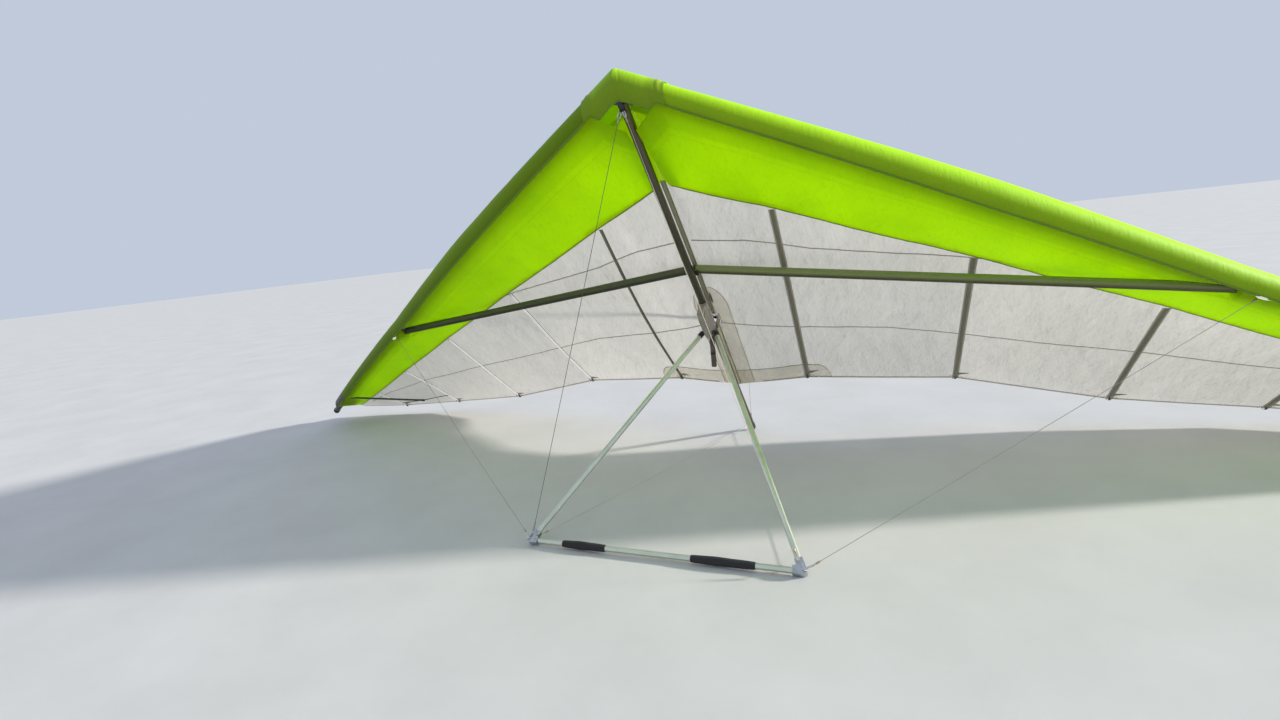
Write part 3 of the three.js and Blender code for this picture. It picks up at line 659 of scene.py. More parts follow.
# Name, colour, shade, share of light that comes through, crinkle, and what else a cloth has
CLOTHS = {
    "sleeve_left": ("lime_sleeve", SLEEVE, SLEEVE_SHADE, 0.10, 0.3, (), SLEEVE_INSERT_AND_SHADE, 0.0, 0.58, 0.12),
    # The right sleeve is a darker copy of the left one, with less light through: painted shade
    "sleeve_right": ("lime_sleeve_shaded", (0.54, 0.90, 0.02), (0.38, 0.70, 0.02), 0.03, 0.2, (), SHADE_DIM,
                     0.0, 0.6, 0.10),
    "sleeve_tip": ("sleeve_tip", (0.060, 0.050, 0.040), (0.04, 0.035, 0.03), 0.02, 0.3),
    "nose": ("lime_nose", SLEEVE, SLEEVE_SHADE, 0.12, 0.3, (), NOSE_INSERT_AND_SHADE, 0.0, 0.55, 0.25),
    "under": ("lime_panel", LIME, LIME_SHADE, 0.77, 0.14, UNDER_SHADOW_BANDS, (), 0.35, 0.45, 0.15),
    # A darker lime with less light through, for painted shade near the keel and under the nose
    "lime_nose_top": ("lime_nose_panel_painted_shade", (0.62, 0.80, 0.012), (0.46, 0.64, 0.012), 0.56),
    "lime_top": ("lime_upper_panel", (0.86, 0.97, 0.020), (0.68, 0.84, 0.020), 0.84),
    "white": ("white_sail", (0.96, 0.94, 0.90), (0.88, 0.855, 0.80), 0.55, 0.42, (), (), 0.8),
    "patch": ("reinforcement_cloth", (0.82, 0.785, 0.68), (0.73, 0.70, 0.60), 0.80, 0.3),
    "tape": ("seam_tape", (0.50, 0.42, 0.34), (0.42, 0.36, 0.30), 0.35, 0.15),
    "line": ("stitched_line", (0.30, 0.28, 0.19), (0.24, 0.22, 0.15), 0.25, 0.15),
    "olive": ("olive_strip", (0.47, 0.46, 0.31), (0.38, 0.37, 0.25), 0.45, 0.2),
    "pale_strip": ("pale_strip", (0.86, 0.82, 0.63), (0.76, 0.72, 0.54), 0.75, 0.2),
    # The pocket's dark middle is painted shade of the batten inside; the pocket cloth itself is the beige of
    # its edges
    "pocket": ("batten_pocket", (0.24, 0.215, 0.145), (0.16, 0.145, 0.10), 0.10, 0.15),
    "pocket_edge": ("batten_pocket_edge", (0.62, 0.59, 0.49), (0.50, 0.47, 0.38), 0.3, 0.15),
    "dark_edge": ("pocket_edge_painted_shade", (0.12, 0.115, 0.085), (0.09, 0.085, 0.06), 0.1, 0.15),
    "hem": ("lime_hem", (0.15, 0.28, 0.012), (0.10, 0.2, 0.012), 0.1, 0.15),
}
OPEN_WEAVE = {"patch": 0.66, "pale_strip": 0.45}
# Name, colour, roughness, metallic, wear, brushed, painted shade on the lower side, and painted emission
# light
TUBES = {
    # The pale pockets and the bound opening shine by emission: painted light
    "pale": ("pale_pocket_painted_glow", (0.97, 0.96, 0.93), 0.36, 0.6, 0.12, 0.12, 0.0, 0.22),
    "painted_glow": ("bound_opening_painted_glow", (0.92, 0.96, 0.74), 0.5, 0.0, 0.12, 0.12, 0.0, 0.30),
    "keel": ("keel_tube", (0.118, 0.104, 0.076), 0.34),
    # The crossbar halves are one tube in a sunlit copy and a darker copy as painted shade; their green tint
    # is a painted reflection of the lime cloth
    "cross_left": ("crossbar_tube", (0.22, 0.245, 0.085), 0.42, 0.3, 0.12, 0.12, 0.68),
    "cross_right": ("crossbar_tube_shaded", (0.075, 0.085, 0.030), 0.5, 0.2, 0.12, 0.12, 0.6),
    "edge": ("edge_tube", (0.10, 0.105, 0.10), 0.42),
    "bright": ("bright_tube", (0.75, 0.79, 0.68), 0.32, 1.0, 0.35, 0.3),
    "bracket": ("bracket_plate", (0.46, 0.40, 0.335), 0.46, 0.4, 0.6, 0.3),
    "dark_plate": ("dark_plate", (0.055, 0.05, 0.042), 0.5, 1.0, 0.4, 0.2),
    "corner": ("corner_plate", (0.55, 0.58, 0.60), 0.36, 1.0, 0.4, 0.2),
    "steel": ("steel_fittings", (0.66, 0.66, 0.65), 0.25, 1.0, 0.3, 0.1),
    # The stays are one wire: a paler copy for sunlit ones and a darker copy for shaded ones, painted light
    # and shade
    "wire": ("coated_stay", (0.36, 0.32, 0.26), 0.4, 0.5, 0.2),
    "painted_shade_wire": ("stay_painted_shade", (0.075, 0.07, 0.05), 0.5, 0.2, 0.2),
    "painted_sunlit_wire": ("stay_painted_sunlit", (0.60, 0.55, 0.46), 0.36, 0.45, 0.2),
    "copper": ("ferrule", (0.50, 0.40, 0.30), 0.35),
}
looks = {key: cloth_look(*values, open_weave=OPEN_WEAVE.get(key, 0.0)) for key, values in CLOTHS.items()}
looks |= {key: tube_look(*values) for key, values in TUBES.items()}
looks |= {
    "black": moulded_look("black_plastic", (0.018, 0.018, 0.02), 0.45),
    "foam": moulded_look("grip_foam", (0.022, 0.021, 0.022), 0.86, grain=340.0, depth=0.0008, strength=0.5),
    "webbing": webbing_look("strap_webbing", (0.13, 0.105, 0.08)),
    "thread": webbing_look("stitch_thread", (0.45, 0.43, 0.36), 0.0008),
}


# Cloth of the wing


SLEEVE_ARC, SLEEVE_TAIL = 34, 9


def sleeve_grid(xs, grow=0.0, reach=SLEEVE_REACH):
    """The cloth round the leading edge, from its seam below, round the front, to the upper sail."""
    xs = np.asarray(xs, float)
    front = edge_at(xs)
    radius = sleeve_radius(xs) + grow
    seam = np.interp(xs, SEAM_PLACES, SEAM_ANGLES)[:, None]
    angles = np.radians(seam + (70 - seam) * np.linspace(0, 1, SLEEVE_ARC))
    s = front[:, 1, None] - radius[:, None] / SIN_NOSE * np.cos(angles)
    n = front[:, 2, None] + radius[:, None] * np.sin(angles)
    shares = np.linspace(0, 1, SLEEVE_TAIL + 1)[1:]
    end_s = front[:, 1] + reach
    end_n = sail_height(xs, end_s) + grow
    back_s = s[:, -1, None] + (end_s - s[:, -1])[:, None] * shares
    back_n = n[:, -1, None] + (end_n - n[:, -1])[:, None] * shares
    lift = 0.006 * np.sin(np.pi * shares)
    s, n = np.concatenate((s, back_s), axis=1), np.concatenate((n, back_n + lift), axis=1)
    return np.stack((np.broadcast_to(xs[:, None], s.shape), s, n), axis=-1)


def distances(grid):
    """UV in metres: across the span, and along each row from its start."""
    steps = np.linalg.norm(np.diff(grid, axis=1), axis=2)
    along = np.concatenate((np.zeros((len(grid), 1)), np.cumsum(steps, axis=1)), axis=1)
    return np.stack((np.broadcast_to(np.abs(grid[:, :1, 0]), along.shape), along), axis=-1)


# Where the tips turn dark, the first column of the sleeve's upper side, and gaps in the lower panel
DARK_TIP, UPPER_FROM = 3.900, 30
PANEL_CORNER, PANEL_INNER, PANEL_INNER_S = 0.160, 0.025, 0.239
NOTCH_START, NOTCH_END, STAY_HOLE = 2.440, 2.575, (2.578, 2.606)


def build_sleeve(side, sign):
    """The cloth round one leading edge, with gentle ripples and a dark tip."""
    xs = np.linspace(SLEEVE_START, TIP_X, 260)
    grid = mirror(sleeve_grid(xs), sign)
    ripple = 0.0009 * wander(grid, 0.16, 11) + 0.0005 * wander(grid, 0.045, 12)
    middle = edge_at(grid[..., 0])
    middle[..., 0] = grid[..., 0]
    grid = grid + unit(grid - middle + 1e-9) * ripple[..., None]
    kinds = np.zeros((len(xs) - 1, grid.shape[1] - 1), int)
    kinds[:, UPPER_FROM:] = 2
    kinds[xs[:-1] > DARK_TIP] = 1
    whole = shell(grid, 0.0024, distances(grid), pattern=kinds)
    sleeve = make(f"edge_cloth_{side}", whole, f"sleeve_{side} sleeve_tip lime_top",
                  f"leading_edge_sleeve_{side}")
    hem = build_sleeve_hem(side, sign)


def build_sleeve_hem(side, sign):
    """The turned hem where the lower panel leaves the leading edge cloth."""
    xs = np.linspace(0.20, TIP_X - 0.02, 180)
    lip = sleeve_grid(xs)[:, 0]
    outline = ((-0.003, -0.0022), (0.005, -0.0026), (0.010, -0.0012), (0.005, 0.0), (-0.003, 0.0))
    rings = [[(x * sign, s + a, n + b) for a, b in outline] for x, s, n in lip]
    return make(f"edge_hem_{side}", loft(rings), "hem", None)


def build_sail(side, sign):
    """Half of the upper sail, with its front panel in lime, darker near the keel and nose as painted shade,
    and the kingpost's slot at the keel.
    """
    inner = (0.0005, 0.015, HOLE_HALF, 0.040)
    xs = np.concatenate((inner, np.linspace(0.052, TIP_X, 226)))
    start, end = edge_at(xs)[:, 1] + SLEEVE_REACH + 0.0005, trail_edge(xs)
    shares = np.linspace(0, 1, 104)
    for line in (HOLE_FRONT, HOLE_REAR):
        share = (line - start[0]) / (end[0] - start[0])
        shares[np.argmin(np.abs(shares - share))] = share
    s = start[:, None] + (end - start)[:, None] * shares
    middle_x, middle_s = (xs[:-1, None] + xs[1:, None]) / 2, (s[:-1, :-1] + s[1:, 1:]) / 2
    hole = (middle_x < HOLE_HALF) & (middle_s > HOLE_FRONT - 0.001) & (middle_s < HOLE_REAR + 0.001)
    lime = middle_s < green_edge(middle_x) - 0.03 * np.clip(middle_x / 0.1, 0, 1)
    # Painted shade: the lime near the keel and nose takes the darker copy
    painted_shade_cells = lime & ((middle_x < 0.08) | (middle_x < 0.16) & (middle_s < 0.30))
    uv = np.stack(np.broadcast_arrays(xs[:, None], s), axis=-1)
    grid = on_sail(xs[:, None] * sign, s)
    whole = shell(grid, CLOTH, uv, keep=~hole, pattern=lime.astype(int) + painted_shade_cells)
    return make(f"upper_sail_{side}", whole, "white lime_top lime_nose_top", f"sail_{side}")


SEAMS = (
    ((0.030, 1.030), (0.310, 1.088), (0.637, 1.215), (1.388, 1.392), (1.900, 1.520)),
    ((0.025, 1.725), (0.179, 1.774), (0.488, 1.875), (0.986, 1.971), (1.392, 2.124),
     (3.565, 2.604), (3.900, 2.740)),
)


def strip_on_sail(xs, middle, half, drop, sign, look=0):
    """A strip of cloth on the sail's lower side, round a line of s for each x."""
    s = middle[:, None] + half * np.linspace(-1, 1, 5)
    return shell(on_sail((xs * sign)[:, None], s, drop), TRIM, look=look)


def build_seams(side, sign):
    """The tapes over the sail's seams, and along its trailing edge."""
    below = CLOTH / 2 + 0.0006
    strips = []
    for points in SEAMS:
        places = np.array(points)
        first, last = places[0, 0], places[-1, 0]
        xs = np.linspace(first, last, max(24, int(60 * (last - first))))
        strips.append(strip_on_sail(xs, np.interp(xs, places[:, 0], places[:, 1]), 0.0036, below, sign))
    xs = np.linspace(0.16, TIP_X - 0.01, 220)
    strips.append(strip_on_sail(xs, trail_edge(xs) - 0.009, 0.008, below, sign, look=1))
    return make(f"sail_seams_{side}", strips, "tape pocket_edge", None)


def panel_grid(xs, sign):
    """The lower panel: straight from the seam to the sail, but drawn up over the crossbar."""
    lip = sleeve_grid(np.maximum(xs, PANEL_CORNER))[:, 0]
    inset = np.clip((PANEL_CORNER - xs) / (PANEL_CORNER - PANEL_INNER), 0, 1)
    start = np.stack((xs, lip[:, 1] * (1 - inset) + PANEL_INNER_S * inset + 0.003, lip[:, 2]), axis=-1)
    end_s = green_edge(xs)
    end = np.stack((xs, end_s, sail_rise(xs * sign, end_s) - 0.0032), axis=-1)
    shares = np.linspace(0, 1, 72)
    grid = start[:, None] + (end - start)[:, None] * shares[:, None]
    ease = np.sin(np.pi * shares) ** 0.7
    own = grid * (sign, 1, 1)
    grid[..., 2] += ease * (0.0018 * wander(own * (0.6, 1.8, 0.0), 0.30, 21) + 0.0008 * wander(own, 0.07, 22))
    bar = crossbar_point(1.0) - CROSS_CENTRE
    bar_s, bar_n = (CROSS_CENTRE[k] + bar[k] * grid[..., 0] for k in (1, 2))
    away = np.clip(np.abs(grid[..., 1] - bar_s) - 0.014, 0, None)
    over = bar_n + 0.030 - 0.9 * away - 6 * away**2
    over = np.where(grid[..., 0] < NOTCH_START + 0.03, over, -1)
    grid[..., 2] = np.maximum(grid[..., 2], over)
    return grid * (sign, 1, 1)


def build_under(side, sign):
    """The lower panel, from the edge cloth's lip to the sail, notched for the crossbar's end."""
    inner = np.linspace(PANEL_INNER, PANEL_CORNER, 14)[:-1]
    xs = np.concatenate((inner, np.linspace(PANEL_CORNER, TIP_X - 0.04, 240)))
    grid = panel_grid(xs, sign)
    x, s = np.abs(grid[..., 0]), grid[..., 1]
    bar_s = CROSS_CENTRE[1] + (CROSS_END - CROSS_CENTRE)[1] * x / CROSS_END[0]
    hit = (x > NOTCH_START) & (x < NOTCH_END) & (s < bar_s - 0.035)
    hit |= (x > STAY_HOLE[0]) & (x < STAY_HOLE[1]) & (s < bar_s + 0.014)
    strut = np.array(STRUT_INNER) - STRUT_OUTER
    along = np.clip((x - STRUT_OUTER[0]) / strut[0], -0.05, 1)
    gap = [STRUT_OUTER[k] + strut[k] * along - place for k, place in enumerate((x, s, grid[..., 2]))]
    hit |= np.linalg.norm(gap, axis=0) < 0.022
    keep = ~(hit[:-1, :-1] & hit[1:, :-1] & hit[:-1, 1:] & hit[1:, 1:])
    whole = shell(grid, CLOTH, distances(grid), keep=keep)
    panel = make(f"lower_panel_{side}", whole, "under", f"undersurface_{side}")
    shown = xs[xs > 0.026]
    strip = strip_on_sail(shown, green_edge(shown) - 0.002, 0.0045, 0.0046, sign)
    hem = make(f"lower_hem_{side}", strip, "hem", None)


FLAP_EDGE = np.array(((0.0, 0.086), (0.045, 0.104), (0.120, 0.155), (0.166, 0.127), (0.200, 0.150)))


def build_nose_cone():
    """The soft cone over the nose: a peak with a crease, two gathered ends and a notched flap below."""
    xs = np.linspace(-0.20, 0.20, 121)
    grid = sleeve_grid(np.abs(xs), 0.006, 0.160)
    grid[..., 0] = xs[:, None]
    lip = grid[:, 0].copy()
    rear = np.maximum(np.interp(np.abs(xs), *FLAP_EDGE.T), lip[:, 1] + 0.002)
    shares = np.linspace(1, 0, 9)[:-1]
    flap = lip[:, None] + (rear - lip[:, 1])[:, None, None] * shares[:, None] * (0, 1, 0)
    flap[..., 2] -= 0.0006 + 0.004 * (shares * (1 - shares)) * np.sin(np.abs(xs) * 30)[:, None]
    grid = np.concatenate((flap, grid), axis=1)
    gather = np.exp(-(((np.abs(xs) - 0.178) / 0.016) ** 2))[:, None]
    phase = np.linspace(0, 1, grid.shape[1])[None, :]
    front = np.exp(-(((phase - 0.5) / 0.24) ** 2))
    fold = np.abs(xs)[:, None] + 0.012 * (phase - 0.5)
    pucker = 0.0030 * gather * front * np.sin(fold * 190)
    crease = 0.0030 * np.exp(-(((xs[:, None] + 0.004 - 0.020 * (phase - 0.45)) / 0.0035) ** 2)) * front
    side_fold = 0.0016 * np.exp(-(((xs[:, None] - 0.016 - 0.05 * (0.6 - phase)) / 0.004) ** 2)) * front
    grid[..., 1] -= pucker - crease - side_fold
    grid[..., 2] += pucker * 0.6
    # The cone's upper tail takes the darker lime copy: painted shade
    kinds = np.zeros((len(xs) - 1, grid.shape[1] - 1), int)
    kinds[:, UPPER_FROM + 8:] = 1
    cone = make("nose_cloth", shell(grid, 0.002, distances(grid), pattern=kinds), "nose lime_nose_top",
                "nose_cone")
    outline = ((-0.006, -0.0020), (0.001, -0.0024), (0.0016, 0.0), (-0.006, 0.0))
    rings = [[(x, s + a, n + b) for a, b in outline] for x, s, n in grid[:, 0]]
    hem = make("nose_hem", loft(rings), "hem", None)


# A pocket's section, how wide it is and how far it bows on each side, and its two looks
POCKET = ((-0.0185, 0.0011), (-0.0105, 0.0016), (-0.0078, 0.0050), (-0.0050, 0.0088), (0, 0.0104),
          (0.0050, 0.0088), (0.0078, 0.0050), (0.0105, 0.0016), (0.0185, 0.0011), (0.0185, 0.0004),
          (-0.0185, 0.0004))
BOWS = (-0.036, -0.024, -0.010, 0.0, 0.0)
POCKET_SHAPES = {"left": [(1.0, 0.0)] * 5, "right": [(0.62, bow) for bow in BOWS]}
# The right wing's pockets are painted as the light falls on them: a pale shining middle for a painted
# highlight, dark edges for painted shade
POCKET_LOOKS = {"left": ["pocket pocket_edge"] * 5, "right": ["pocket dark_edge"] + ["pale dark_edge"] * 4}
CORD_LOOP = ((-0.022, -0.020, 0.004), (-0.016, -0.006, 0.001), (-0.004, -0.002, -0.002),
             (0.008, -0.006, 0.0), (0.014, -0.022, 0.004))


def pocket_solid(front_x, rear_x, start, end, wide=1.0, bow=0.0, top=0.0009):
    """A batten in its cloth pocket under the sail, from one place to another."""
    shares = np.linspace(0, 1, 90)
    s = start + (end - start) * shares
    middle = front_x + (rear_x - front_x) * shares + bow * np.sin(np.pi * shares)
    ease = np.clip(np.minimum(shares, 1 - shares) / 0.02, 0.25, 1)
    rings = []
    for x, place, full in zip(middle, s, ease):
        asides = np.array([a * wide for a, _ in POCKET]) + x
        drops = np.array([d if d <= 0.0011 else 0.0011 + (d - 0.0011) * full for _, d in POCKET]) + top
        rings.append(on_sail(asides, place, drops))
    whole = loft(rings)
    columns = len(POCKET)
    whole["looks"] = [int(k % columns in (0, columns - 4)) for k in range(len(whole["faces"]))]
    return whole


def build_battens(side, sign):
    pieces = []
    for number, (front_x, rear_x) in enumerate(zip(BATTEN_FRONTS, BATTEN_REARS)):
        name = f"{side}_{number + 1}"
        start, end = float(green_edge(front_x + 0.017)) + 0.006, float(trail_edge(rear_x)) - 0.003
        shape = pocket_solid(front_x * sign, rear_x * sign, start, end, *POCKET_SHAPES[side][number])
        pieces.append(make(f"pocket_{name}", shape, POCKET_LOOKS[side][number], f"batten_{name}"))
        pieces.append(build_batten_end(name, sign, rear_x))
    return pieces


def build_batten_end(name, sign, x):
    """The triangular doubler at a batten's rear end, with its pointed tab, eyelet, tip and cord."""
    end = float(trail_edge(x))
    rows = []
    for back, half in ((0.085, 0.008), (0.062, 0.016), (0.040, 0.030), (0.020, 0.048), (0.002, 0.064)):
        curl = 0.012 * (back < 0.04)
        rows.append([(x * sign + a * half, end - back + curl * abs(a)) for a in np.linspace(-1, 1, 13)])
    across, s = np.moveaxis(rows, -1, 0)
    doubler = shell(on_sail(across, np.minimum(s, trail_edge(across) - 0.001), 0.0019), TRIM)
    rows = []
    for along, half in ((0.012, 0.012), (0.035, 0.011), (0.060, 0.006), (0.082, 0.0008)):
        back = end - 0.058 - 0.10 * along
        rows.append([(x * sign + along, back + b * half) for b in (-1, -0.3, 0.3, 1)])
    tab = shell(on_sail(*np.moveaxis(rows, -1, 0), 0.0024), TRIM, look=1)
    rise = float(sail_rise(x * sign, end - 0.02)) - 0.0075
    tip = rod((x * sign, end - 0.050, rise + 0.001), (x * sign, end - 0.004, rise), 0.0058, 16, look=2)
    eye_at = on_sail(x * sign - 0.022, end - 0.020, 0.0020)
    eye_profile = [(0.003, 0), (0.0075, 0), (0.0065, 0.0012), (0.0035, 0.0012), (0.003, 0)]
    eye = turned(eye_at, eye_at - (0, 0, 1), eye_profile, 20, 3)
    loop = [(x * sign + a, end + b, rise + c) for a, b, c in CORD_LOOP]
    pieces = (doubler, tab, tip, eye, sweep(smooth(loop, 26), 0.0013, 8, look=2))
    return make(f"batten_end_{name}", pieces, "patch pocket black steel", None)


# The doubler round the slot is an arch, and the band along the trailing edge has a rounded end
ARCH_HALF, ARCH_PEAK, ARCH_SPRING, ARCH_RISE = 0.107, 1.400, 1.600, 0.205
BAND_END, BAND_ROUND, BAND_DEPTH = 0.618, 0.078, 0.150


def build_patches(side, sign):
    """The doubler round the kingpost's slot, and the band along the middle of the trailing edge."""
    s = np.concatenate((np.linspace(ARCH_PEAK, 1.57, 18), np.linspace(1.585, 2.372, 44)))
    crown = np.sqrt(np.clip(1 - ((ARCH_SPRING - s) / ARCH_RISE) ** 2, 0.0, 1))
    width = np.maximum(ARCH_HALF * np.where(s < ARCH_SPRING, crown, 1), 0.006)
    inner = np.where((s > HOLE_FRONT - 0.02) & (s < HOLE_REAR + 0.02), HOLE_HALF + 0.001, 0.0008)
    x = inner[:, None] + (width - inner)[:, None] * np.linspace(0, 1, 16)
    arch = shell(on_sail(x * sign, s[:, None], 0.0021), TRIM)
    xs = np.linspace(0.001, BAND_END, 70)
    past = np.clip((xs - 0.540) / BAND_ROUND, 0, 1)
    depth = np.maximum(BAND_DEPTH * np.sqrt(np.clip(1 - past**2, 0.0, 1)), 0.003)
    rear = trail_edge(xs) - 0.002
    band_s = rear[:, None] - depth[:, None] * np.linspace(1, 0, 10)
    band = shell(on_sail(xs[:, None] * sign, band_s, 0.0013), TRIM)
    line = strip_on_sail(xs, rear - depth, 0.0028, 0.0026, sign, look=1)
    rim = sweep(on_sail(width * sign, s, 0.0030), 0.0016, 6, look=1)
    slot = np.linspace(HOLE_FRONT - 0.010, HOLE_REAR + 0.010, 30)
    bound = sweep(on_sail((HOLE_HALF + 0.003) * sign, slot, 0.0032), 0.0024, 6, look=1)
    return make(f"sail_doublers_{side}", (arch, band, line, rim, bound), "patch line", None)


def build_slot_flap():
    """The dark hook-and-loop strip ahead of the kingpost, which closes the sail round it."""
    s = np.linspace(1.438, 1.525, 24)
    half = 0.006 * np.sqrt(np.clip(1 - ((s - 1.4815) / 0.046) ** 2, 0.05, 1))
    x = 0.026 + half[:, None] * np.linspace(-1, 1, 7)
    return make("slot_flap", shell(on_sail(x, s[:, None], 0.0150), 0.0012), "webbing", None)


def build_centre_strips():
    parts = (("front", 0.612, 1.631, "olive line"), ("rear", 1.721, 2.368, "pale_strip line"))
    return [
        make(f"centre_batten_{name}_cloth", pocket_solid(0.0, 0.0, start, end, 0.78, top=0.0035), kinds,
             f"centre_batten_{name}")
        for name, start, end, kinds in parts
    ]


TIP_BATTEN = np.array(((3.640, 2.866), (3.062, 2.832)))


def build_tip_batten(side, sign):
    """The short dark batten across the tip's last panels, under the sail."""
    x, s = (TIP_BATTEN[0] + (TIP_BATTEN[1] - TIP_BATTEN[0]) * np.linspace(0, 1, 24)[:, None]).T
    path = on_sail(x * sign, s, 0.013)
    return make(f"tip_batten_{side}", sweep(path, 0.0036, 10), "edge", None)


def build_cut_out(side, sign):
    """The bound opening in the lower panel for the side stay: pale, with painted emission light standing in
    for the light that comes through.
    """
    grid = panel_grid(np.array((2.525, 2.540, 2.565, 2.580)), sign)[:, :5]
    halves = np.array((0.1, 1.0, 1.0, 0.2))[:, None, None]
    middle = grid[:, 2:3]
    rows = middle + (grid - middle) * halves - (0, 0, 0.0035)
    make(f"stay_opening_{side}", shell(rows, 0.0012), "painted_glow", None)


def build_wing():
    strips = build_centre_strips() + [build_slot_flap()]
    for side, sign in SIDES:
        build_sleeve(side, sign)
        sail = build_sail(side, sign)
        extras = [build_seams(side, sign), build_patches(side, sign), *build_battens(side, sign)]
        build_under(side, sign)
        extras.append(build_tip_batten(side, sign))
        build_cut_out(side, sign)
    build_nose_cone()


# Frame of tubes


def cap(end, beyond, tube, outer, skirt, lip):
    """A plastic cap over a tube's end, with a soft rim."""
    bore, soft = tube + 0.0004, 0.0025
    profile = [(bore, -skirt), (outer - 0.0006, -skirt), (outer, -skirt + 0.0008), (outer, lip - soft)]
    profile += [(outer - soft * 0.3, lip - soft * 0.3), (outer - soft, lip), (0, lip)]
    profile += [(0, 0.0006), (bore, 0.0006), (bore, -skirt)]
    return turned(end, beyond, profile)


def coped_tube(sign):
    """One half of the crossbar, its outer end cut to fit round the leading edge's tube."""
    start, stop = crossbar_point(CROSS_START * sign), crossbar_point(CROSS_STOP * sign)
    aim, length = unit(stop - start), distance(start, stop)
    spokes = spokes_round(aim, 64)[1]
    root = mirror(edge_at(2.3), sign)
    line = unit(mirror(edge_at(2.7), sign) - root)
    places = np.linspace(length - 0.25, length, 200)
    outward = np.linspace(0, 1, 30)
    rings = []
    for radius, shares in ((CROSS_RADIUS, outward), (CROSS_RADIUS - 0.002, outward[::-1])):
        points = start + radius * spokes[:, None] + aim * places[:, None]
        away = np.linalg.norm(np.cross(points - root, line), axis=-1) - EDGE_RADIUS - CROSS_TO_EDGE
        ends = np.array([places[np.argmax(row < 0)] if (row < 0).any() else length for row in away])
        rings += [start + radius * spokes + aim * (ends * share)[:, None] for share in shares]
    return loft(rings, closed=True)


def build_edges(side, sign):
    """A leading edge tube and its cap, half of the crossbar, and the washout strut near the tip."""
    path = edge_point(np.linspace(EDGE_START, EDGE_END, 60)) * (sign, 1, 1)
    make(f"edge_tube_{side}", sweep(path, EDGE_RADIUS, 40), "edge", f"leading_edge_{side}")
    end = path[-1]
    end_cap = cap(end, end + (end - path[-3]), EDGE_RADIUS, EDGE_RADIUS + 0.003, 0.030, 0.004)
    make(f"edge_cap_{side}", end_cap, "black", f"tip_cap_{side}")
    make(f"cross_tube_{side}", coped_tube(sign), f"cross_{side}", f"crossbar_{side}")
    outer, inner = mirror(STRUT_OUTER, sign), mirror(STRUT_INNER, sign)
    profile = [(0, 0), (0.0098, 0), (0.0104, 0.002), (0.0104, 0.030), (0, 0.031)]
    ends = [turned(along_line(a, b, -0.002), b, profile, 24, 1) for a, b in ((outer, inner), (inner, outer))]
    hook = mirror(edge_point(4.560), sign) - (0, 0, EDGE_RADIUS)
    link = sweep(smooth((outer, (outer + hook) / 2 - (0, 0, 0.004), hook), 12), 0.004, 10, look=2)
    make(f"tip_strut_{side}", (rod(outer, inner, 0.009, 24), *ends, link), "edge black steel",
         f"washout_strut_{side}")


def build_keel():
    front, end = (0, KEEL_FRONT, 0), (0, KEEL_END, 0)
    make("keel_tube", pipe(front, end, KEEL_RADIUS, 0.002), "keel", "keel")
    end_cap = cap(end, (0, KEEL_END + 1, 0), KEEL_RADIUS, 0.0235, 0.040, 0.004)
    make("keel_cap", end_cap, "black", "keel_tail_cap")


def build_mast():
    bottom, top = (0, MAST_S, MAST_BOTTOM), (0, MAST_S, MAST_TOP)
    tube = pipe(bottom, top, MAST_RADIUS, 0.0015)
    make("mast_tube", tube, "bright", "kingpost", "mast")
    end_cap = cap(top, (0, MAST_S, MAST_TOP + 1), MAST_RADIUS, 0.018, 0.034, 0.010)
    make("mast_cap", end_cap, "black", "kingpost_cap", "mast")


def build_control_frame():
    """Base bar, uprights, their black top fittings, and the hardware on the corner brackets."""
    inset = np.array((0.006, 0, 0))
    bar = pipe(BASE * (-1, 1, 1) + inset, BASE - inset, BAR_RADIUS, 0.0015)
    make("base_tube", bar, "bright", "base_bar", "control_frame")
    rise = unit((0, APEX[1] - BASE[1], APEX[2] - BASE[2]))
    front = np.cross(X_AXIS, rise)
    profile = [(0, 0), (0.0125, 0), (0.0150, 0.002), (0.0165, 0.006), (0.0170, 0.012)]
    profile += [(0.0170, FITTING - 0.008), (0.0165, FITTING - 0.002), (0.0155, FITTING), (0, FITTING)]
    for side, sign in SIDES:
        top, corner = mirror(APEX, sign), mirror(BASE, sign)
        start, end = along_line(top, corner, FITTING + 0.0005), along_line(corner, top, 0.036)
        tube = pipe(start, end, BAR_RADIUS, 0.0015)
        make(f"upright_{side}", tube, "bright", f"downtube_{side}", "control_frame")
        middle = along_line(top, corner, 0.026)
        screws = [bolt(middle + front * (0.0166 * turn), front * turn, 0.006, 0.002) for turn in (1, -1)]
        fitting = [turned(top, corner, profile, 40), *screws]
        make(f"upright_top_{side}", fitting, "black", f"downtube_top_{side}",
             "control_frame")
        build_corner_hardware(side, sign, rise, front)


# Where the lower stays end on the airframe, on the left
FRONT_FAR, SIDE_FAR, REAR_FAR = (0.008, 0.132, -0.038), (2.565, 1.612, -0.005), (0.012, 2.790, -0.026)


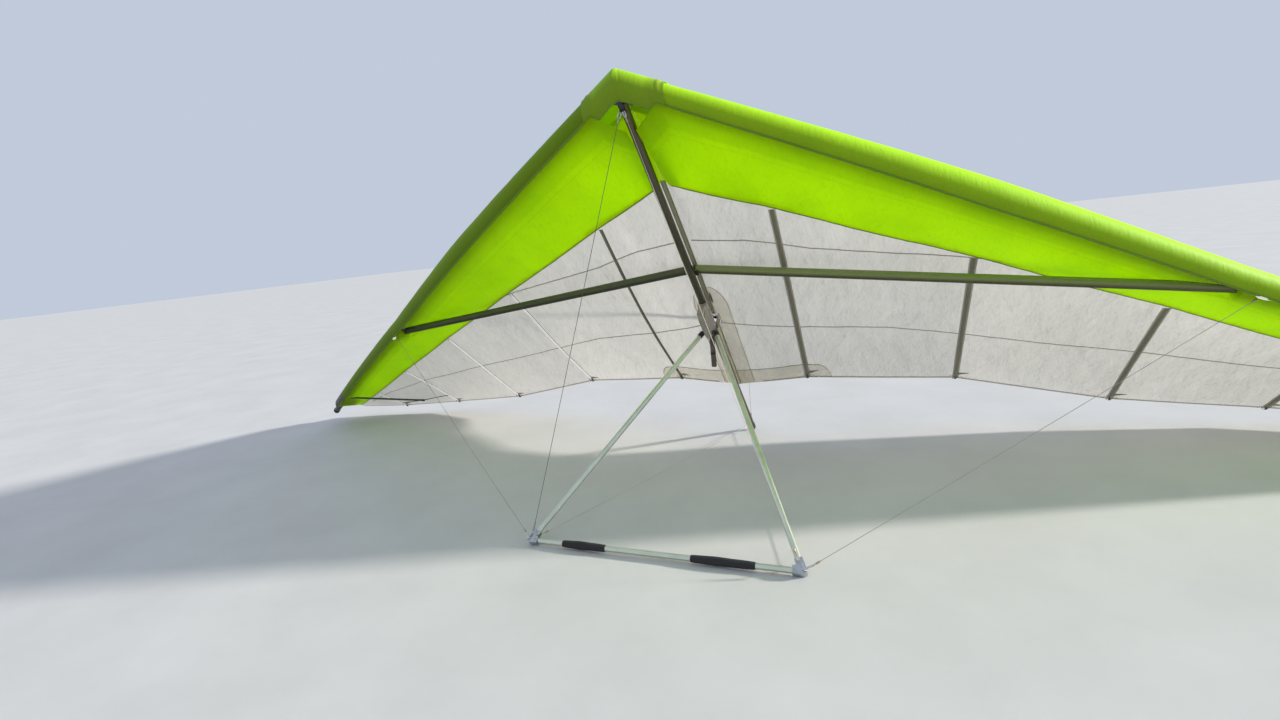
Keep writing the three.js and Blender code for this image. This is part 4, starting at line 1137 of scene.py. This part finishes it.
def build_corner_hardware(side, sign, rise, front):
    """Bolts through the corner bracket, a ball-lock pin with its ring, and the stays' tangs."""
    corner = mirror(BASE, sign)
    lean = unit((APEX[0] - BASE[0], np.linalg.norm((APEX - BASE)[1:])))
    inward = X_AXIS * (0.033 * sign)
    pieces = []
    for turn in (1, -1):
        face = corner + front * (CHEEK * turn)
        upper = face + X_AXIS * (lean[0] * 0.046 * sign) + rise * lean[1] * 0.046
        pieces += [bolt(face, front * turn, 0.008, 0.0035), bolt(upper, front * turn, 0.007, 0.0035)]
        button = face - inward
        head = [(0, 0), (0.0045, 0), (0.0045, 0.0015), (0.0025, 0.004), (0, 0.004)]
        pieces.append(turned(button, button + front * turn, head, 20))
    ring_at = corner - inward + front * (CHEEK + 0.005)
    angles = np.linspace(0, TURN, 33)
    ring = ring_at + np.outer(np.cos(angles), X_AXIS) * 0.008 + np.outer(np.sin(angles) - 0.9, rise) * 0.008
    pieces.append(sweep(ring, 0.0009, 8))
    hub = corner + X_AXIS * (0.010 * sign) + front * (CHEEK + 0.0022)
    tang = rounded(((-0.006, -0.005), (0.032, -0.004), (0.032, 0.004), (-0.006, 0.005)), 0.003)
    for far in (FRONT_FAR, SIDE_FAR, REAR_FAR):
        aim = unit(mirror(far, sign) - corner)
        flat = unit(aim - front * (aim @ front))
        basis = np.array((flat, np.cross(front, flat), front))
        pieces.append(slab(tang, -0.0007, 0.0007, basis, hub, 0.0003))
        hub = hub + front * 0.0016
    make(f"corner_hardware_{side}", pieces, "steel", None, "control_frame")


def build_apex_hardware():
    """Bolts and cheeks of the bracket under the keel, a silver catch, and the downtubes' collars."""
    sideways = np.array(((0, 1, 0), (0, 0, 1), (1, 0, 0)), float)
    catch = ((1.488, -0.006), (1.512, 0.0), (1.536, -0.010), (1.528, -0.024), (1.498, -0.026))
    cheek = ((1.452, -0.052), (1.642, -0.052), (1.642, -0.100), (1.600, -0.104), (1.470, -0.102))
    collar = [(0.0072, 0), (0.0118, 0), (0.0118, 0.006), (0.0098, 0.0075), (0.0072, 0.0075), (0.0072, 0)]
    pieces = [slab(rounded(catch, 0.006), 0.0272, 0.0312, sideways, chamfer=0.0008)]
    for turn in (1, -1):
        for s, across in ((1.450, 0.010), (1.560, 0.008), (1.625, 0.010)):
            pieces.append(bolt((0.027 * turn, s, -0.018), (turn, 0, 0), across, 0.004))
        place = np.array((0.017 * turn, APEX[1], APEX[2]))
        pieces.append(turned(place, place + (turn, 0, 0), collar, 28, 1))
        low, high = sorted((0.0174 * turn, 0.0196 * turn))
        pieces.append(slab(rounded(cheek, 0.010), low, high, sideways, look=2))
    make("apex_hardware", pieces, "steel black bracket", None)


def build_nose_hardware():
    """The dark tang under the keel's front end, with a bright bolt and the front stays' shackles."""
    under = -KEEL_RADIUS - 0.006
    outline = ((-0.013, 0.080), (0.013, 0.080), (0.012, 0.150), (0.008, 0.158), (-0.008, 0.158),
               (-0.012, 0.150))
    tang = slab(rounded(outline, 0.005), under - 0.0040, under - 0.0004, np.eye(3), chamfer=0.0008, look=1)
    pieces = [tang, bolt((-0.006, 0.146, under - 0.004), (0, 0, -1), 0.007, 0.004)]
    for sign in (1, -1):
        shackle = (0.004 * sign, 0.130, under - 0.003), (0.0085 * sign, 0.132, -0.042)
        pieces.append(rod(*shackle, 0.0028, 12, 1))
        for x, s in ((0.058, 0.100), (0.022, 0.138)):
            pieces.append(bolt((x * sign, s, 0.0585), (0, 0, 1), 0.010, 0.005, 1))
    make("nose_hardware", pieces, "steel black", None)


SWEEP_WIRE = ((0.031, 1.236, 0.056), (0.032, 1.620, 0.040), (0.031, 1.700, 0.038), (0.005, 2.300, 0.0235))


def build_crossbar_hardware():
    """The small joint at the crossbar's middle, its two sweep wires and the bolts at its ends."""
    pieces = []
    for sign in (1, -1):
        pieces.append(sweep(smooth(mirror(SWEEP_WIRE, sign), 40), 0.0016, 8, look=1))
        for x, s in ((2.440, 1.592), (2.566, 1.606)):
            pieces.append(bolt((x * sign, s, 0.0705), (0, 0, 1), 0.010, 0.004))
    pieces.append(bolt((0, 2.300, KEEL_RADIUS - 0.0005), (0, 0, 1), 0.012, 0.007))
    pieces.append(rod((0, 1.212, 0.0335), (0, 1.212, 0.0815), 0.009, 32, 2, 0.002))
    make("crossbar_hardware", pieces, "steel wire cross_right", None)


def build_mast_hardware():
    """Tangs on the kingpost's cap and a bolt through its foot."""
    cap_at = np.array((0, MAST_S, MAST_TOP - 0.012))
    down = np.array((0, 0, -1.0))
    tang = rounded(((0.014, -0.006), (0.028, -0.005), (0.028, 0.005), (0.014, 0.006)), 0.003)
    pieces = []
    for aim in ((1, 0, 0), (-1, 0, 0), (0, 1, 0), (0, -1, 0)):
        basis = np.array((aim, down, np.cross(down, aim)), float)
        pieces.append(slab(tang, -0.001, 0.001, basis, cap_at, 0.0003))
    make("mast_tangs", pieces, "steel", None, "mast")
    bolts = [bolt((0.026 * turn, MAST_S, 0.098), (turn, 0, 0)) for turn in (1, -1)]
    make("mast_foot_bolt", bolts, "steel", None)


WEBBING_THICK, WEBBING_OUTER = 0.0055, 0.0140
WEBBING_SECTION = ((-0.0125, -0.3), (-0.0125, 0.3), (-0.0115, 0.5), (0.0115, 0.5),
                   (0.0125, 0.3), (0.0125, -0.3), (0.0115, -0.5), (-0.0115, -0.5))


def build_strap():
    """The hang strap: a stitched loop of doubled webbing on its pin, and a keeper half way down."""
    down = AXES @ np.array((0, 0, -1.0))
    aft = unit(np.cross(X_AXIS, down))
    middle = WEBBING_OUTER - WEBBING_THICK / 2
    slack = WEBBING_OUTER - WEBBING_THICK - 0.0045
    top = np.array((0, STRAP_S, STRAP_N)) + down * slack
    drop = STRAP_LENGTH - 2 * WEBBING_OUTER
    turns = np.linspace(0, math.pi, 13)
    path = [(middle * math.cos(a), -middle * math.sin(a)) for a in turns]
    straight = np.linspace(0.02, 0.98, 16)
    squeeze = 0.0024 * np.sin(np.pi * straight) ** 2
    path += [(q - middle, drop * w) for w, q in zip(straight, squeeze)]
    path += [(-middle * math.cos(a), drop + middle * math.sin(a)) for a in turns]
    path += [(middle - q, drop * (1 - w)) for w, q in zip(straight, squeeze[::-1])]
    path = np.array(path)
    points = top + path[:, :1] * aft + path[:, 1:] * down
    away = unit(np.gradient(np.concatenate((path[-1:], path, path[:1])), axis=0)[1:-1])
    flat = unit(away[:, 1:] * aft - away[:, :1] * down)
    rings = [[p + X_AXIS * a + f * (b * WEBBING_THICK) for a, b in WEBBING_SECTION]
             for p, f in zip(points, flat)]
    pieces = [loft(rings, closed=True)]
    stitch_side = aft * (middle - 0.0024 + WEBBING_THICK * 0.52)
    for row in np.linspace(-0.009, 0.009, 5):
        for k in np.linspace(0.052, 0.090, 9):
            near = top + down * k - stitch_side + X_AXIS * row
            pieces.append(rod(near, near + down * 0.0032, 0.0005, 6, 1, 0.0001))
    pieces.append(strap_keeper(top + down * 0.104, aft, down))
    make("strap_webbing", pieces, "webbing thread black", "hang_strap", "hang_strap")


def strap_keeper(centre, aft, down):
    """A thin band round the webbing, nearly square in section."""
    half_x, half_y = 0.0135, WEBBING_OUTER - 0.0012
    band = []
    for a in np.linspace(0, TURN, 40, endpoint=False):
        x, y = math.cos(a), math.sin(a)
        band.append((math.copysign(abs(x) ** 0.35, x) * half_x, math.copysign(abs(y) ** 0.35, y) * half_y))
    levels = ((0.0, 1.0), (0.0, 1.06), (0.018, 1.06), (0.018, 1.0))
    rings = [[centre + X_AXIS * x * grow + aft * y * grow + down * level for x, y in band]
             for level, grow in levels]
    return loft(rings, 2, closed=True)


def build_grips():
    """Moulded foam grips, fuller in the middle, with shallow spiral flats."""
    ys = np.linspace(0, 1, 90)[:, None]
    angles = np.linspace(0, TURN, 64, endpoint=False)
    end_ease = np.clip(np.minimum(ys, 1 - ys) / 0.045, 0, 1) ** 0.5
    full = 0.0168 + 0.0036 * np.sin(np.pi * ys) ** 0.8
    spiral = 1 + 0.045 * np.cos(2 * (angles - 5.2 * ys)) * np.sin(np.pi * ys) ** 1.5
    outer = (0.0154 + (full - 0.0154) * end_ease) * spiral
    for side, x, length in (("left", 0.337, 0.305), ("right", -0.381, 0.243)):
        across = x - length / 2 + ys * length
        rings = [
            np.stack(np.broadcast_arrays(at, BASE[1] + r * np.cos(angles), BASE[2] + r * np.sin(angles)), -1)
            for at, r in ((across, outer), (across[::-1], 0.0147))
        ]
        grip = make(f"foam_grip_{side}", loft(np.concatenate(rings), closed=True), "foam",
                    f"base_bar_grip_{side}", "control_frame")


# Stays


def stay(name, start, end, node, look="wire", radius=0.0013, sag=0.004):
    """A wire from one body to another, with a slight sag."""
    shares = np.linspace(0, 1, 30)[:, None]
    start, end = np.asarray(start, float), np.asarray(end, float)
    down = AXES @ np.array((0, 0, -1.0))
    path = start + (end - start) * shares + 4 * shares * (1 - shares) * sag * down
    wire = make(name, sweep(path, radius, 8), look, node, None)
    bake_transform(wire)


EYE_LOOP = ((0.030, 0.0022), (0.018, 0.0058), (0.006, 0.0062), (0.0, 0.0), (0.006, -0.0062),
            (0.018, -0.0058), (0.030, -0.0022))
FERRULE = [(0, 0), (0.0040, 0.001), (0.0044, 0.004), (0.0044, 0.019), (0.0038, 0.022), (0, 0.023)]


def stay_end(anchor, far):
    """A wire's end: the bend of the wire round its thimble, and the ferrule behind it."""
    anchor, far = np.asarray(anchor, float), np.asarray(far, float)
    aim = unit(far - anchor)
    u, _ = side_axes(aim)
    loop = [anchor + aim * a + u * b for a, b in EYE_LOOP]
    return [sweep(smooth(loop, 30), 0.0022, 8, look=2), turned(anchor + aim * 0.030, far, FERRULE, 16, 1)]


def build_stay_ends(name, body, ends):
    pieces = [piece for anchor, far in ends for piece in stay_end(anchor, far)]
    make(name, pieces, "wire copper steel", None, body)


def build_stays():
    """The upper and lower stays with a thimble and a ferrule at each end, and the luff lines."""
    top = np.array((0, MAST_S, MAST_TOP - 0.012))
    nose = np.array((0, 0.190, float(sail_height(0, 0.190)) + 0.014))
    stern = np.array((0, 2.790, KEEL_RADIUS + 0.003))
    mast_ends, wing_ends, frame_ends, far_ends = [], [], [], []
    uppers = [("front_top_stay", "top_wire_front", nose), ("rear_top_stay", "top_wire_rear", stern)]
    for side, sign in SIDES:
        over_edge = sleeve_radius(2.54) + 0.008
        wing = mirror((2.540, edge_at(2.54)[1], edge_at(2.54)[2] + over_edge), sign)
        uppers.append((f"side_top_stay_{side}", f"top_wire_side_{side}", wing))
    for name, node, anchor in uppers:
        stay(name, along_line(top, anchor, 0.028), anchor, node)
        mast_ends.append((along_line(top, anchor, 0.022), anchor))
        wing_ends.append((anchor, top))
    for side, sign in SIDES:
        corner = mirror(BASE, sign)
        # Some stays take the sunlit or the shaded copy of the wire: painted light and shade
        rows = (
            ("front", FRONT_FAR, 0.050, "painted_sunlit_wire" if sign > 0 else "painted_shade_wire"),
            ("rear", REAR_FAR, 0.060, "painted_sunlit_wire"),
            ("side", SIDE_FAR, 0.034, "wire"),
        )
        for kind, anchor, free, look in rows:
            far = mirror(anchor, sign)
            start = along_line(corner, far, free)
            stay(f"{kind}_stay_{side}", start, far, f"{kind}_wire_{side}", look)
            frame_ends.append((start, far))
            far_ends.append((far, start))
        for number, rear in enumerate(BATTEN_REARS[:2], 1):
            far = on_sail(rear * sign, trail_edge(rear) - 0.02, -0.006)
            start = along_line(top + (0, 0, -0.01), far, 0.024)
            stay(f"luff_line_{side}_{number}", start, far, None, radius=0.0009, sag=0.05)
    build_stay_ends("stay_ends_top", "mast", mast_ends)
    build_stay_ends("stay_ends_wing", "airframe", wing_ends + far_ends)
    build_stay_ends("stay_ends_frame", "control_frame", frame_ends)


# Camera, floor and light

CAMERA_PLACE = (1.1801, -1.1754, -2.4106)
CAMERA_FORWARD = (-0.41143, 0.72474, 0.55271)
CAMERA_UP = (0.02041, -0.59894, 0.80054)
CAMERA_LENS = 17.568
SUN_FROM = (0.898, -0.011, 0.440)
FLOOR_REACH = 120.0


def build_camera():
    data = bpy.data.cameras.new("photo_camera")
    data.sensor_fit = "HORIZONTAL"
    data.sensor_width = 36.0
    data.lens = CAMERA_LENS
    data.clip_start = 0.05
    data.clip_end = 500.0
    camera = bpy.data.objects.new("photo_camera", data)
    bpy.context.scene.collection.objects.link(camera)
    forward, up = unit(np.array(CAMERA_FORWARD) @ AXES), unit(np.array(CAMERA_UP) @ AXES)
    right = unit(np.cross(forward, up))
    up = np.cross(right, forward)
    turn = Matrix(np.column_stack((right, up, -forward)).tolist()).to_4x4()
    camera.matrix_world = Matrix.Translation(Vector(to_world(CAMERA_PLACE))) @ turn
    bpy.context.scene.camera = camera


def build_floor():
    """A wide pale floor, which is staging and not part of the glider."""
    mesh = bpy.data.meshes.new("floor")
    corners = [(x * FLOOR_REACH, y * FLOOR_REACH, 0) for x, y in ((-1, -1), (1, -1), (1, 1), (-1, 1))]
    mesh.from_pydata(corners, [], [(0, 1, 2, 3)])
    floor = bpy.data.objects.new("floor", mesh)
    bpy.context.scene.collection.objects.link(floor)
    look, tree = new_look("pale_floor")
    where = add(tree, "ShaderNodeTexCoord").outputs["Object"]
    tones = ((0.3, (0.60, 0.59, 0.575)), (0.7, (0.66, 0.65, 0.635)))
    tone = ramp(tree, noise(tree, where, 1.4, 4.0, 0.6), tones)
    finish_look(look, principled(tree, tone, 0.85, Specular_IOR_Level=0.2))
    mesh.materials.append(look)


def build_light():
    world = bpy.data.worlds.new("studio")
    world.use_nodes = True
    tree = world.node_tree
    tree.nodes.clear()
    sky = add(tree, "ShaderNodeBackground", {"Color": (0.66, 0.74, 0.88, 1), "Strength": 0.80})
    tree.links.new(sky.outputs[0], add(tree, "ShaderNodeOutputWorld").inputs["Surface"])
    bpy.context.scene.world = world
    bpy.context.scene.view_settings.view_transform = "Standard"
    sun_data = bpy.data.lights.new("key", "SUN")
    sun_data.energy = 5.3
    sun_data.angle = math.radians(4)
    sun_data.color = (1.0, 0.965, 0.90)
    sun = bpy.data.objects.new("key", sun_data)
    bpy.context.scene.collection.objects.link(sun)
    sun.rotation_mode = "QUATERNION"
    sun.rotation_quaternion = Vector(np.array(SUN_FROM) @ AXES).to_track_quat("Z", "Y")


build_camera()
build_floor()
build_light()
build_wing()
for side_name, side_sign in SIDES:
    build_edges(side_name, side_sign)
build_keel()
build_mast()
build_control_frame()
build_grips()
build_stays()
build_nose_hardware()
build_crossbar_hardware()
build_apex_hardware()
build_mast_hardware()
build_strap()

# The crossbar's middle takes the darker crossbar copy, which is painted shade
for node_name, look_name in (
    ("nose_plate_upper", "bracket"), ("nose_plate_lower", "dark_plate"), ("crossbar_centre", "cross_right"),
    ("crossbar_end_bracket_left", "dark_plate"), ("crossbar_end_bracket_right", "dark_plate"),
    ("apex_bracket", "bracket"), ("kingpost_foot", "bracket"), ("hang_strap_hanger", "bracket"),
    ("corner_bracket_left", "corner"), ("corner_bracket_right", "corner"),
):
    node_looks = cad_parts[node_name].data.materials
    node_looks.clear()
    node_looks.append(looks[look_name])
